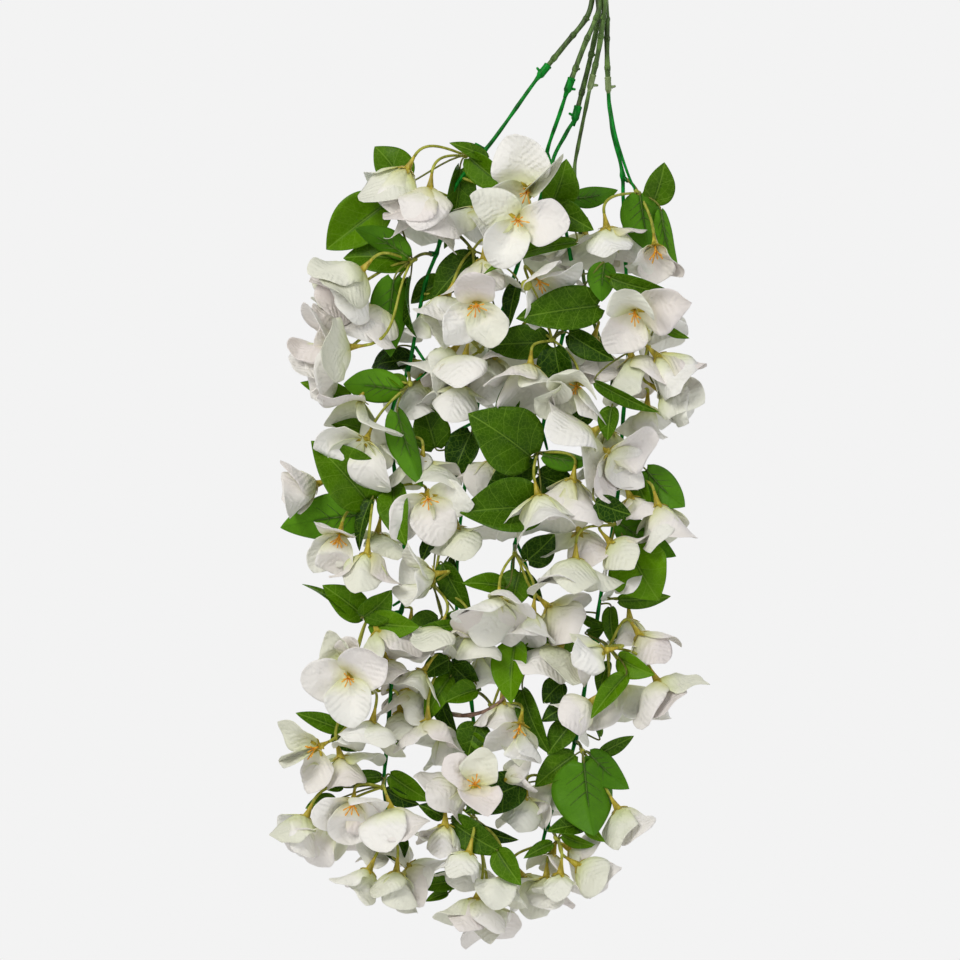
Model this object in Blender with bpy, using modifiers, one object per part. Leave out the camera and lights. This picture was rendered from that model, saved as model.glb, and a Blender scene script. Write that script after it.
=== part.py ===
"""Hanging spray of artificial white bougainvillea, in metres, +Z up.

A moulded crown stub hangs from its flat top, which is the origin. Five olive stems plug into bores in its
underside. A bright green vine is pushed over the end of each stem and trails down. Twigs with leaves butt
onto pegs of the vines, and a whorl of stalks with three-petalled blooms sits at the end of each twig.

The routes and the places of blooms and leaves are in millimetres: x to the right, y away from the front,
and drop, the distance below the flat top. Blooms and leaves that would run into another node are turned or
made smaller, a step at a time, until they are clear.
"""

import math
from collections import namedtuple

import bmesh
import bpy
from mathutils import Matrix, Vector
from mathutils.bvhtree import BVHTree
from mathutils.geometry import interpolate_bezier

# ---------------------------------------------------------------- driving sizes, in millimetres
MILLIMETRE = 0.001
GAP = 0.3  # between pieces that touch on the real spray
CLEARANCE = 0.4  # how much a piece is fattened where others look for a free place

CROWN_HEIGHT = 48.0
CROWN_TOP_RADIUS = 8.0
CROWN_FOOT_RADIUS = 9.4
CROWN_EDGE = 1.2
BORE_CIRCLE_RADIUS = 5.3
BORE_DEPTH = 10.0

STEM_RADIUS = 2.2
STEM_SIDES = 8
COLLAR_RADIUS = 3.3
COLLAR_LENGTH = 11.0
SOCKET_DEPTH = 8.0

VINE_RADIUS = 1.5
VINE_STEP = 30.0
PEG_RADIUS = 1.3
PEG_LENGTH = 5.0
TWIG_RADIUS = 1.1
KNUCKLE_RADIUS = 2.0

STALK_RADIUS = 0.9
CALYX_LENGTH = 13.0
CALYX_RADIUS = 2.8
CALYX_REACH = 0.35
PETAL_THICKNESS = 0.9
PETAL_HALF_WIDTH = 0.41
LEAF_THICKNESS = 1.0
PETIOLE_HALF_WIDTH = 0.9

STEM_COLOUR = (0.079, 0.147, 0.036)
VINE_COLOUR = (0.005, 0.240, 0.040)
LEAF_COLOUR = (0.035, 0.130, 0.010)
PETAL_COLOUR = (0.880, 0.870, 0.855)

Bloom = namedtuple("Bloom", "x drop y aim toward size spread roll")
Leaf = namedtuple("Leaf", "base tip width roll")
Cluster = namedtuple("Cluster", "number vine grip hub blooms leaves")

# ---------------------------------------------------------------- routes: x, drop, y
STEM_ROUTES = {
    1: [(-8, 72, -1), (-26, 95, -2), (-45, 117, -3)],
    2: [(-1, 68, -6), (-13, 97, -7), (-25, 129, -7)],
    3: [(-1, 72, 4), (-8, 108, 5), (-19, 151, 5)],
    4: [(3, 72, -4), (-1, 100, -2), (-7, 126, 0)],
    5: [(6, 72, 4), (6, 100, 4), (7, 128, 4)],
}
BORE_ANGLES = {1: 180, 2: 252, 3: 108, 4: 324, 5: 36}

VINE_ROUTES = {
    1: [(-56, 130, -4), (-86, 172, -2), (-107, 196, 2), (-119, 215, 4), (-125, 240, 5), (-131, 262, 5),
        (-140, 286, 4), (-147, 322, 1), (-154, 356, -2), (-167, 390, -2), (-166, 425, 1), (-159, 475, 4),
        (-156, 530, 4), (-164, 570, 2), (-168, 620, 0), (-171, 660, 0), (-173, 690, 2), (-168, 722, 6)],
    2: [(-32, 150, -4), (-42, 180, 4), (-41, 196, 15), (-55, 240, 26), (-72, 290, 28), (-88, 340, 26),
        (-100, 395, 24), (-107, 440, 26), (-113, 490, 28), (-115, 540, 26), (-112, 580, 22), (-104, 615, 16),
        (-101, 655, 14), (-108, 704, 14)],
    3: [(-27, 166, 3), (-38, 190, -4), (-34, 215, -6), (-26, 250, -6), (-22, 286, -5), (-30, 330, -6),
        (-40, 370, -7), (-47, 408, -8), (-58, 450, -6), (-67, 493, -4), (-70, 520, -2), (-66, 550, 0),
        (-62, 582, 2)],
    4: [(-11, 145, 2), (-17, 175, 8), (-20, 195, 10), (-18, 220, 9), (-15, 250, 10), (-12, 286, 12),
        (-2, 325, 10), (10, 355, 6), (9, 374, 2), (7, 390, 0)],
    5: [(8, 145, 4), (11, 167, 2), (18, 196, 0), (19, 220, 0), (21, 270, 3), (23, 320, 5), (22, 363, 6),
        (19, 394, 8), (16, 443, 6), (11, 480, 3), (5, 515, 0), (0, 542, 0), (-4, 570, 0), (-10, 600, 0),
        (-18, 646, -1), (-28, 684, 3), (-40, 714, 3), (-46, 736, 0)],
}

# ---------------------------------------------------------------- clusters, top to bottom
# Bloom: x, drop and y of the throat, aim of the mouth in the front plane, tilt toward the front, petal
# length, spread of the petals from the axis, roll of the first petal; angles in degrees.
# Leaf: base and tip as x, drop, y; width; roll from face-on.
CLUSTERS = [
    Cluster(1, 1, 180, (-107, 184, -12), [
        Bloom(-154, 195, -24, 255, -20, 42, 40, 90), Bloom(-136, 211, -40, 262, 0, 44, 36, 60),
    ], [
        Leaf((-104, 186, -18), (-70, 214, -26), 26, 20), Leaf((-112, 194, -14), (-125, 258, -12), 28, -30),
        Leaf((-122, 190, 8), (-180, 176, 20), 20, 30),
    ]),
    Cluster(2, 1, 262, (-150, 268, -16), [
        Bloom(-188, 275, -34, 215, -25, 45, 50, 90), Bloom(-199, 338, -40, 185, -10, 46, 60, 60),
        Bloom(-172, 300, -6, 235, 10, 42, 40, 30),
    ], [
        Leaf((-158, 248, -6), (-218, 259, 4), 46, 10), Leaf((-153, 264, -26), (-196, 240, -44), 22, 160),
        Leaf((-158, 284, -22), (-167, 345, -20), 27, 160), Leaf((-152, 282, -4), (-146, 330, -14), 22, 70),
    ]),
    Cluster(3, 1, 356, (-152, 367, -22), [
        Bloom(-190, 380, -32, 235, 5, 46, 62, 90), Bloom(-182, 410, -40, 235, 30, 47, 68, 30),
    ], [
        Leaf((-162, 372, -26), (-206, 366, -48), 24, 170), Leaf((-195, 378, -10), (-240, 366, -8), 16, 20),
        Leaf((-148, 360, 10), (-185, 352, 24), 22, 20), Leaf((-158, 390, -32), (-142, 449, -38), 24, 150),
    ]),
    Cluster(4, 1, 448, (-180, 456, -14), [
        Bloom(-226, 438, -14, 215, -5, 42, 42, 60), Bloom(-207, 486, -30, 255, 15, 40, 45, 30),
        Bloom(-186, 501, -44, 262, -15, 38, 30, 90), Bloom(-139, 457, -36, 280, 60, 42, 60, 90),
    ], [
        Leaf((-188, 458, -20), (-230, 416, -34), 44, 10), Leaf((-195, 465, -6), (-256, 482, -8), 24, 170),
        Leaf((-157, 448, -14), (-159, 495, -30), 26, 20),
    ]),
    Cluster(6, 1, 240, (-102, 260, -4), [
        Bloom(-92, 266, -18, 275, 10, 42, 40, 90), Bloom(-122, 297, -26, 250, -10, 38, 40, 30),
        Bloom(-102, 303, -46, 280, 35, 40, 55, 90),
    ], [
        Leaf((-102, 268, 8), (-133, 298, 20), 28, 20),
    ]),
    Cluster(7, 3, 202, (-42, 204, -24), [
        Bloom(-57, 212, -48, 235, 60, 46, 70, 90), Bloom(-66, 238, -62, 270, 80, 46, 80, 30),
    ], [
        Leaf((-38, 222, -30), (-27, 188, -40), 32, 20), Leaf((-36, 226, -34), (-5, 245, -44), 24, 10),
        Leaf((-30, 240, -40), (-88, 270, -46), 12, 60),
    ]),
    Cluster(8, 5, 200, (31, 214, -6), [
        Bloom(5, 242, -30, 280, -15, 36, 60, 90), Bloom(44, 258, -28, 285, 20, 38, 35, 30),
        Bloom(22, 245, 18, 265, 0, 42, 45, 90),
    ], [
        Leaf((43, 221, -4), (53, 190, -8), 26, 20), Leaf((32, 216, -14), (40, 262, -10), 34, 165),
        Leaf((49, 228, -8), (62, 282, -6), 15, 160), Leaf((-4, 216, 4), (-36, 212, -8), 17, 150),
    ]),
    Cluster(10, 3, 325, (-38, 332, -26), [
        Bloom(-51, 283, -40, 310, 35, 40, 45, 90), Bloom(-56, 352, -42, 265, 15, 44, 50, 30),
        Bloom(-20, 366, -46, 265, 30, 45, 45, 90),
    ], [
        Leaf((-4, 300, -38), (-64, 314, -52), 33, 10), Leaf((-46, 328, -20), (-92, 335, -14), 28, 10),
        Leaf((-36, 338, -30), (-28, 372, -22), 33, 20), Leaf((-25, 327, -30), (10, 348, -34), 20, 20),
    ]),
    Cluster(11, 5, 326, (38, 336, -8), [
        Bloom(27, 309, -46, 270, 75, 46, 75, 90), Bloom(46, 345, -30, 325, -10, 42, 45, 90),
        Bloom(25, 346, -24, 285, 0, 44, 35, 30), Bloom(50, 375, 0, 320, -15, 40, 45, 90),
    ], [
        Leaf((47, 367, -6), (82, 372, -6), 12, 60), Leaf((10, 372, -8), (45, 391, -16), 12, 20),
    ]),
    Cluster(12, 2, 335, (-96, 340, 10), [
        Bloom(-112, 352, -12, 262, 5, 44, 45, 90), Bloom(-100, 330, 34, 265, -20, 30, 45, 30),
        Bloom(-86, 345, 2, 265, 0, 42, 25, 90),
    ], [
        Leaf((-103, 406, 4), (-118, 445, 0), 28, 20), Leaf((-110, 405, 12), (-142, 384, 10), 28, 10),
    ]),
    Cluster(13, 3, 412, (-50, 422, -26), [
        Bloom(-50, 456, -46, 285, 10, 44, 50, 90), Bloom(-22, 443, -36, 260, -10, 44, 50, 30),
        Bloom(-88, 432, 4, 245, 0, 36, 35, 90),
    ], [
        Leaf((-56, 422, -34), (-101, 390, -46), 50, 10), Leaf((-56, 445, -34), (-111, 470, -40), 46, 10),
        Leaf((-46, 424, -32), (-7, 430, -44), 16, 160),
    ]),
    Cluster(14, 4, 388, (6, 398, -14), [
        Bloom(-6, 415, -44, 225, -15, 44, 55, 90), Bloom(32, 396, -42, 235, 10, 46, 50, 30),
        Bloom(26, 456, -22, 290, 0, 34, 35, 30), Bloom(47, 452, -8, 285, -10, 40, 32, 90),
    ], [
        Leaf((8, 384, -22), (4, 413, -28), 16, 20), Leaf((37, 436, -14), (67, 468, -24), 30, 160),
    ]),
    Cluster(16, 5, 474, (12, 480, -18), [
        Bloom(8, 497, -38, 310, 0, 34, 45, 90), Bloom(-21, 506, -48, 270, 25, 46, 75, 30),
    ], [
        Leaf((16, 479, -22), (61, 505, -22), 26, 165), Leaf((20, 494, -26), (46, 538, -34), 44, 10),
        Leaf((15, 540, -10), (57, 537, -4), 14, 20),
    ]),
    Cluster(17, 3, 496, (-68, 503, -20), [
        Bloom(-80, 537, -46, 265, 20, 44, 55, 90), Bloom(-52, 548, -38, 255, 15, 36, 40, 30),
        Bloom(-42, 545, -20, 315, -5, 38, 40, 90),
    ], [
        Leaf((-74, 520, -26), (-109, 530, -32), 16, 20), Leaf((-58, 508, -30), (-38, 488, -34), 26, 20),
    ]),
    Cluster(18, 1, 520, (-134, 528, -12), [
        Bloom(-115, 481, -20, 280, -10, 34, 50, 90), Bloom(-132, 524, -48, 165, 20, 40, 60, 30),
        Bloom(-128, 562, -30, 245, 0, 38, 50, 90), Bloom(-102, 565, -22, 280, 5, 38, 50, 30),
    ], [
        Leaf((-126, 511, -16), (-104, 550, -14), 20, 20), Leaf((-130, 548, -24), (-155, 569, -26), 24, 60),
    ]),
    Cluster(19, 1, 549, (-186, 555, -14), [
        Bloom(-210, 590, -24, 200, 60, 40, 70, 90), Bloom(-201, 599, -50, 250, 70, 44, 75, 60),
        Bloom(-178, 568, -34, 290, -5, 40, 40, 30),
    ], [
        Leaf((-190, 552, -18), (-220, 528, -26), 26, 10), Leaf((-188, 550, -18), (-166, 528, -22), 22, 20),
        Leaf((-183, 554, -28), (-144, 558, -46), 22, 10),
    ]),
    Cluster(20, 5, 572, (7, 578, -16), [
        Bloom(31, 566, -22, 325, -10, 42, 32, 90), Bloom(45, 601, -30, 300, -10, 44, 65, 30),
        Bloom(2, 585, -44, 195, 0, 34, 45, 90), Bloom(-7, 622, -40, 225, -10, 36, 50, 60),
        Bloom(24, 612, -8, 245, -5, 44, 40, 30),
    ], [
        Leaf((15, 586, -26), (44, 599, -40), 20, 20), Leaf((20, 600, -40), (-8, 632, -56), 18, 20),
        Leaf((2, 566, -8), (12, 540, -10), 13, 20),
    ]),
    Cluster(21, 3, 578, (-58, 592, -12), [], [
        Leaf((-64, 590, -20), (-65, 630, -30), 28, 30), Leaf((-52, 590, -14), (-12, 569, 4), 22, 20),
        Leaf((-48, 600, -18), (-24, 618, -20), 20, 20), Leaf((-60, 604, -12), (-40, 652, -16), 18, 20),
    ]),
    Cluster(22, 2, 576, (-122, 585, 4), [
        Bloom(-141, 597, -14, 235, 10, 34, 50, 90), Bloom(-138, 640, -18, 270, 0, 40, 50, 30),
        Bloom(-125, 648, 10, 290, 0, 34, 40, 90),
    ], [
        Leaf((-121, 590, -8), (-142, 600, -24), 18, 20), Leaf((-119, 592, -4), (-95, 612, -10), 24, 10),
        Leaf((-120, 602, -6), (-140, 630, -8), 18, 20), Leaf((-126, 606, 6), (-112, 645, 10), 16, 30),
    ]),
    Cluster(23, 2, 612, (-86, 626, -6), [
        Bloom(-100, 686, -40, 20, 60, 40, 50, 90), Bloom(-112, 685, -22, 215, -10, 38, 50, 30),
        Bloom(-62, 698, -6, 265, 0, 34, 30, 90), Bloom(-61, 637, -30, 235, 15, 40, 60, 90),
    ], [
        Leaf((-98, 642, -12), (-112, 662, -16), 26, 10),
    ]),
    Cluster(24, 1, 606, (-182, 614, 8), [
        Bloom(-183, 636, -14, 270, 10, 42, 60, 90), Bloom(-228, 656, -26, 200, 35, 38, 60, 30),
        Bloom(-210, 667, 6, 270, -20, 40, 70, 90),
    ], []),
    Cluster(25, 1, 684, (-174, 690, -14), [
        Bloom(-196, 702, -38, 265, 40, 42, 65, 90), Bloom(-167, 710, -40, 280, -10, 36, 35, 30),
        Bloom(-234, 712, -16, 235, -5, 40, 30, 90), Bloom(-216, 721, -4, 250, 20, 34, 40, 30),
    ], [
        Leaf((-182, 684, -10), (-215, 687, -12), 14, 20), Leaf((-166, 682, -16), (-136, 701, -20), 18, 20),
        Leaf((-180, 676, -4), (-243, 631, -4), 14, 20),
    ]),
    Cluster(26, 1, 719, (-166, 730, 2), [
        Bloom(-185, 755, -6, 245, -10, 32, 40, 90), Bloom(-163, 757, -22, 255, -15, 38, 50, 30),
        Bloom(-152, 752, 4, 320, -10, 38, 60, 90),
    ], []),
    Cluster(27, 2, 702, (-100, 716, -4), [
        Bloom(-126, 722, -28, 270, -15, 36, 35, 90), Bloom(-105, 738, -38, 260, 0, 38, 25, 30),
        Bloom(-99, 780, -14, 235, -10, 38, 50, 90), Bloom(-76, 763, -30, 260, 0, 34, 25, 30),
        Bloom(-64, 762, 2, 290, 0, 36, 40, 90),
    ], [
        Leaf((-105, 712, -16), (-64, 690, -22), 26, 10), Leaf((-114, 716, -20), (-77, 743, -44), 24, 10),
        Leaf((-78, 718, -20), (-60, 756, -30), 22, 10), Leaf((-112, 766, 6), (-146, 772, 8), 18, 20),
    ]),
    Cluster(28, 5, 652, (-14, 661, -16), [
        Bloom(12, 706, -16, 295, -10, 32, 30, 90), Bloom(-40, 688, 16, 265, 0, 40, 40, 30),
    ], [
        Leaf((-16, 675, -30), (-2, 728, -42), 50, 165), Leaf((-20, 664, -18), (-52, 689, -14), 22, 20),
        Leaf((-8, 664, -22), (21, 692, -18), 26, 160), Leaf((0, 663, -8), (26, 650, -2), 12, 20),
    ]),
    Cluster(29, 5, 720, (-34, 733, -8), [
        Bloom(-31, 761, -30, 265, -15, 34, 35, 90), Bloom(-17, 756, -18, 300, -15, 38, 45, 30),
    ], [
        Leaf((-38, 735, -14), (-60, 746, -22), 10, 20), Leaf((-15, 722, -20), (-41, 722, -30), 18, 20),
    ]),
]


def place(x, drop, y):
    """A point of the tables as a vector in millimetres, with z up."""
    return Vector((x, y, -drop))


# ---------------------------------------------------------------- scene, materials and meshes
def clear_scene():
    for obj in list(bpy.data.objects):
        bpy.data.objects.remove(obj, do_unlink=True)


def new_collection(name, hidden=False):
    collection = bpy.data.collections.new(name)
    collection.hide_render = hidden
    bpy.context.scene.collection.children.link(collection)
    return collection


def plastic(name, colour, roughness):
    """A Principled BSDF material of one colour."""
    material = bpy.data.materials.new(name)
    material.use_nodes = True
    shader = material.node_tree.nodes["Principled BSDF"]
    shader.inputs["Base Color"].default_value = (*colour, 1.0)
    shader.inputs["Roughness"].default_value = roughness
    shader.inputs["Metallic"].default_value = 0.0
    return material


def object_of(name, mesh, collection):
    obj = bpy.data.objects.new(name, mesh)
    collection.objects.link(obj)
    return obj


def mesh_of(name, shape):
    """Frees the bmesh and returns it as a mesh."""
    mesh = bpy.data.meshes.new(name)
    shape.to_mesh(mesh)
    shape.free()
    return mesh


def evaluated_mesh(obj):
    bpy.context.view_layer.update()
    graph = bpy.context.evaluated_depsgraph_get()
    return bpy.data.meshes.new_from_object(obj.evaluated_get(graph))


def tube_mesh(points, radii, sides):
    """A tube along the points, from a bevelled curve whose caps are welded on."""
    curve = bpy.data.curves.new("tube", "CURVE")
    curve.dimensions = "3D"
    curve.bevel_depth = 1.0
    curve.bevel_resolution = (sides - 4) // 2
    curve.use_fill_caps = True
    spline = curve.splines.new("POLY")
    spline.points.add(len(points) - 1)
    for knot, point, radius in zip(spline.points, points, radii):
        knot.co = (*point, 1.0)
        knot.radius = radius
    guide = object_of("tube", curve, bpy.context.scene.collection)
    mesh = evaluated_mesh(guide)
    bpy.data.objects.remove(guide, do_unlink=True)
    shape = bmesh.new()
    shape.from_mesh(mesh)
    bmesh.ops.remove_doubles(shape, verts=shape.verts, dist=1e-4)
    bmesh.ops.recalc_face_normals(shape, faces=shape.faces)
    shape.to_mesh(mesh)
    shape.free()
    return mesh


def smooth_route(points, step):
    """Catmull-Rom points through a route, about a step apart."""
    route = []
    for i in range(len(points) - 1):
        before, start, end = points[max(i - 1, 0)], points[i], points[i + 1]
        after = points[min(i + 2, len(points) - 1)]
        handle_1 = start + (end - before) / 6
        handle_2 = end - (after - start) / 6
        count = max(2, round((end - start).length / step) + 1)
        route += interpolate_bezier(start, handle_1, handle_2, end, count)[:-1]
    return route + [points[-1]]


# ---------------------------------------------------------------- what is already there
class KeepOut:
    """The solids placed so far, each a little fattened, under a label such as leaf_sprig_04/leaf_2."""

    def __init__(self):
        self.solids = []

    def add(self, label, mesh):
        shape = bmesh.new()
        shape.from_mesh(mesh)
        self.solids.append((label, *self.bounds(shape), BVHTree.FromBMesh(shape)))
        shape.free()

    @staticmethod
    def bounds(shape):
        corners = [vertex.co for vertex in shape.verts]
        low = Vector(min(corner[axis] for corner in corners) for axis in range(3))
        high = Vector(max(corner[axis] for corner in corners) for axis in range(3))
        return low, high

    def blockers(self, friends, mesh):
        """The labels that the mesh runs into, apart from those that begin as one of its friends does."""
        shape = bmesh.new()
        shape.from_mesh(mesh)
        low, high = self.bounds(shape)
        tree = BVHTree.FromBMesh(shape)
        shape.free()
        found = []
        for label, other_low, other_high, other_tree in self.solids:
            apart = any(low[i] > other_high[i] or high[i] < other_low[i] for i in range(3))
            if not apart and not label.startswith(friends) and tree.overlap(other_tree):
                found.append(label)
        return found


# ---------------------------------------------------------------- pieces
def joined(pieces):
    """The Boolean union of the meshes, as one mesh."""
    helpers = new_collection("helpers", hidden=True)
    body = object_of("body", pieces[0], bpy.context.scene.collection)
    for piece in pieces[1:]:
        object_of("helper", piece, helpers)
    if len(pieces) > 1:
        union = body.modifiers.new("union", "BOOLEAN")
        union.operation = "UNION"
        union.solver = "EXACT"
        union.use_self = True
        union.operand_type = "COLLECTION"
        union.collection = helpers
    mesh = evaluated_mesh(body)
    for helper in [body, *helpers.objects]:
        bpy.data.objects.remove(helper, do_unlink=True)
    bpy.data.collections.remove(helpers)
    return largest_body(mesh)


def largest_body(mesh):
    """The mesh without the specks that a union leaves where two thin sheets meet."""
    shape = bmesh.new()
    shape.from_mesh(mesh)
    waiting = set(shape.faces)
    largest = set()
    while waiting:
        body, front = set(), [next(iter(waiting))]
        while front:
            face = front.pop()
            if face not in body:
                body.add(face)
                inner_edges = [edge for edge in face.edges if len(edge.link_faces) == 2]
                front += [other for edge in inner_edges for other in edge.link_faces]
        waiting -= body
        if len(body) > len(largest):
            largest = body
    bmesh.ops.delete(shape, geom=[face for face in shape.faces if face not in largest], context="FACES")
    shape.to_mesh(mesh)
    shape.free()
    return mesh


def cut(mesh, cutters):
    """The mesh less each cutter."""
    helpers = new_collection("cutters", hidden=True)
    body = object_of("body", mesh, bpy.context.scene.collection)
    for cutter in cutters:
        object_of("cutter", cutter, helpers)
    difference = body.modifiers.new("bores", "BOOLEAN")
    difference.operation = "DIFFERENCE"
    difference.solver = "EXACT"
    difference.operand_type = "COLLECTION"
    difference.collection = helpers
    result = evaluated_mesh(body)
    for helper in [body, *helpers.objects]:
        bpy.data.objects.remove(helper, do_unlink=True)
    bpy.data.collections.remove(helpers)
    return result


def rod(start, end, radius, sides=STEM_SIDES):
    return tube_mesh([start, end], [radius, radius], sides)


def crown_mesh():
    """A turned stub, a little wider at its foot, with one bore for each stem."""
    shape = bmesh.new()
    profile = [
        (0.0, 0.0), (CROWN_TOP_RADIUS - CROWN_EDGE, 0.0), (CROWN_TOP_RADIUS, -CROWN_EDGE),
        (CROWN_FOOT_RADIUS, CROWN_EDGE - CROWN_HEIGHT), (CROWN_FOOT_RADIUS - CROWN_EDGE, -CROWN_HEIGHT),
        (0.0, -CROWN_HEIGHT),
    ]
    knots = [shape.verts.new((x, 0.0, z)) for x, z in profile]
    for first, second in zip(knots, knots[1:]):
        shape.edges.new((first, second))
    turned = object_of("turned", mesh_of("turned", shape), bpy.context.scene.collection)
    screw = turned.modifiers.new("turn", "SCREW")
    screw.steps = screw.render_steps = 24
    screw.use_merge_vertices = True
    screw.merge_threshold = 0.0001
    mesh = evaluated_mesh(turned)
    bpy.data.objects.remove(turned, do_unlink=True)
    bores = []
    for number in STEM_ROUTES:
        foot = bore_foot(number)
        top = foot + Vector((0, 0, BORE_DEPTH + GAP))
        bores.append(rod(foot - Vector((0, 0, 1.0)), top, STEM_RADIUS + GAP, 8))
    return cut(mesh, bores)


def bore_foot(number):
    angle = math.radians(BORE_ANGLES[number])
    x, y = BORE_CIRCLE_RADIUS * math.cos(angle), BORE_CIRCLE_RADIUS * math.sin(angle)
    return Vector((x, y, -CROWN_HEIGHT))


def stem_route(number):
    foot = bore_foot(number)
    route = [place(*row) for row in STEM_ROUTES[number]]
    return [foot + Vector((0, 0, BORE_DEPTH)), foot - Vector((0, 0, 4.0)), *route]


def stem_end(number):
    """The lower end of a stem and the direction it points in there."""
    route = stem_route(number)
    return route[-1], (route[-1] - route[-2]).normalized()


def stem_mesh(number, radius=STEM_RADIUS):
    route = stem_route(number)
    straight, rest, end = route[:1], route[1:], route[-1]
    along = (end - route[-2]).normalized()
    points = straight + smooth_route([*rest[:-1], end - along * 12.0], 14.0) + [end]
    return tube_mesh(points, [radius] * len(points), STEM_SIDES)


def vine_points(number):
    end, along = stem_end(number)
    route = [place(*row) for row in VINE_ROUTES[number]]
    return [end + along * 1.2, *smooth_route([end + along * 3.0, *route], VINE_STEP)]


def grip_point(number, drop):
    """The point of a vine's middle line at this drop."""
    points = vine_points(number)
    for start, end in zip(points, points[1:]):
        if start.z >= -drop >= end.z:
            return start.lerp(end, (start.z + drop) / (start.z - end.z))
    return points[-1]


def hub_of(cluster):
    return place(*cluster.hub)


def peg_end(cluster):
    """The free end of the peg for this cluster, and the direction of its twig."""
    grip = grip_point(cluster.vine, cluster.grip)
    along = (hub_of(cluster) - grip).normalized()
    return grip + along * PEG_LENGTH, along


def vine_mesh(number, extra=0.0):
    """The vine with the collar that grips its stem and a peg for each of its clusters."""
    end, along = stem_end(number)
    points = vine_points(number)
    pieces = [tube_mesh(points, [VINE_RADIUS + extra] * len(points), 6)]
    mouth = end - along * SOCKET_DEPTH
    pieces.append(rod(mouth, mouth + along * COLLAR_LENGTH, COLLAR_RADIUS + extra, 8))
    for cluster in CLUSTERS:
        if cluster.vine == number:
            tip, _ = peg_end(cluster)
            root = grip_point(number, cluster.grip)
            pieces.append(tube_mesh([root, tip], [PEG_RADIUS + extra] * 2, 6))
    if extra:
        return joined(pieces)
    bore = rod(mouth - along * 1.0, end + along * GAP, STEM_RADIUS + GAP, 8)
    return cut(joined(pieces), [bore])


def twig_mesh(cluster, extra=0.0):
    tip, along = peg_end(cluster)
    start = tip + along * GAP
    end = hub_of(cluster)
    return tube_mesh([start, start.lerp(end, 0.5), end], [TWIG_RADIUS + extra] * 3, 6)


def knuckle_centre(cluster):
    tip, along = peg_end(cluster)
    base = hub_of(cluster) if cluster.leaves else tip
    return base + along * (KNUCKLE_RADIUS + GAP)


def knuckle_mesh(cluster, extra=0.0):
    shape = bmesh.new()
    _, along = peg_end(cluster)
    upright = along.to_track_quat("Z", "X").to_matrix().to_4x4()
    bmesh.ops.create_cube(
        shape, size=2 * (KNUCKLE_RADIUS + extra), matrix=Matrix.Translation(knuckle_centre(cluster)) @ upright
    )
    return mesh_of("knuckle", shape)


def bloom_axis(bloom):
    aim, toward = math.radians(bloom.aim), math.radians(bloom.toward)
    return Vector((math.cos(aim) * math.cos(toward), -math.sin(toward), math.sin(aim) * math.cos(toward)))


def stalk_mesh(cluster, bloom, bow, extra=0.0):
    """The stalk of a bloom, with its calyx: it leaves the knuckle, bows and comes up behind the throat."""
    start = knuckle_centre(cluster)
    throat = place(bloom.x, bloom.drop, bloom.y)
    axis = bloom_axis(bloom)
    neck = throat - axis * CALYX_LENGTH
    reach = (neck - start).length
    outward = (neck - start).normalized() * 0.35 * reach + bow
    middle = (start + outward).lerp(neck - axis * 0.3 * reach, 0.5)
    points = [start, middle, neck, throat + axis * CALYX_REACH]
    radii = [STALK_RADIUS, STALK_RADIUS, STALK_RADIUS * 1.2, CALYX_RADIUS]
    return tube_mesh(points, [radius + extra for radius in radii], 4)


def petal_curve(along, length, spread):
    """How far out and how far forward a petal's middle line is at a share of its length.

    Its slope from the axis grows evenly from half the spread to a little more than the spread.
    """
    first = 0.5 * spread
    turn = 0.75 * spread
    slope = first + turn * along
    out = length * (math.cos(first) - math.cos(slope)) / turn
    forward = length * (math.sin(slope) - math.sin(first)) / turn
    return out, forward


def bloom_mesh(bloom, scale, roll_shift, thickness):
    """Three petals joined at the throat: a twelve-sided fan, its rim moved to tips, shoulders and notches."""
    shape = bmesh.new()
    bmesh.ops.create_circle(shape, cap_ends=True, cap_tris=True, segments=12, radius=1.0)
    bmesh.ops.subdivide_edges(shape, edges=spokes_to(shape, "tip"), cuts=1)
    bmesh.ops.dissolve_edges(shape, edges=spokes_to(shape, "shoulder"))
    bmesh.ops.triangulate(shape, faces=shape.faces, quad_method="SHORT_EDGE")
    length = bloom.size * scale
    spread = math.radians(bloom.spread)
    axis = bloom_axis(bloom)
    aim = math.radians(bloom.aim)
    side = Vector((-math.sin(aim), 0.0, math.cos(aim)))
    front = axis.cross(side)
    throat = place(bloom.x, bloom.drop, bloom.y)
    for vertex in shape.verts:
        reach = vertex.co.length
        step = round(math.atan2(vertex.co.y, vertex.co.x) / math.radians(30)) if reach > 0.1 else 0
        offset = (step + 2) % 4 - 2
        if reach < 0.1:
            along, half_width = 0.0, 0.0
        elif reach < 0.9:
            along, half_width = 0.55, 0.0
        else:
            along = {0: 1.0, 1: 0.62, 2: 0.26}[abs(offset)]
            half_width = PETAL_HALF_WIDTH * length if abs(offset) == 1 else 0.0
        out, forward = petal_curve(along, length, spread)
        across = min(math.atan2(half_width, out), math.radians(44)) if half_width else 0.0
        petal = math.radians(30 * (step - offset)) if abs(offset) < 2 else math.radians(30 * step)
        angle = petal + math.copysign(across, offset) + math.radians(bloom.roll + roll_shift)
        radius = out / math.cos(across)
        vertex.co = throat + axis * forward + (side * math.cos(angle) + front * math.sin(angle)) * radius
    return shell(shape, thickness)


def spokes_to(shape, kind):
    """The fan's edges from its centre to the rim at the petals' tips, or at their shoulders."""
    found = []
    steps = {"tip": (0,), "shoulder": (1, 3)}[kind]
    for edge in shape.edges:
        inner, rim = sorted((vertex.co for vertex in edge.verts), key=lambda corner: corner.length)
        step = round(math.atan2(rim.y, rim.x) / math.radians(30)) % 4
        if inner.length < 0.1 and rim.length > 0.9 and step in steps:
            found.append(edge)
    return found


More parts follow.
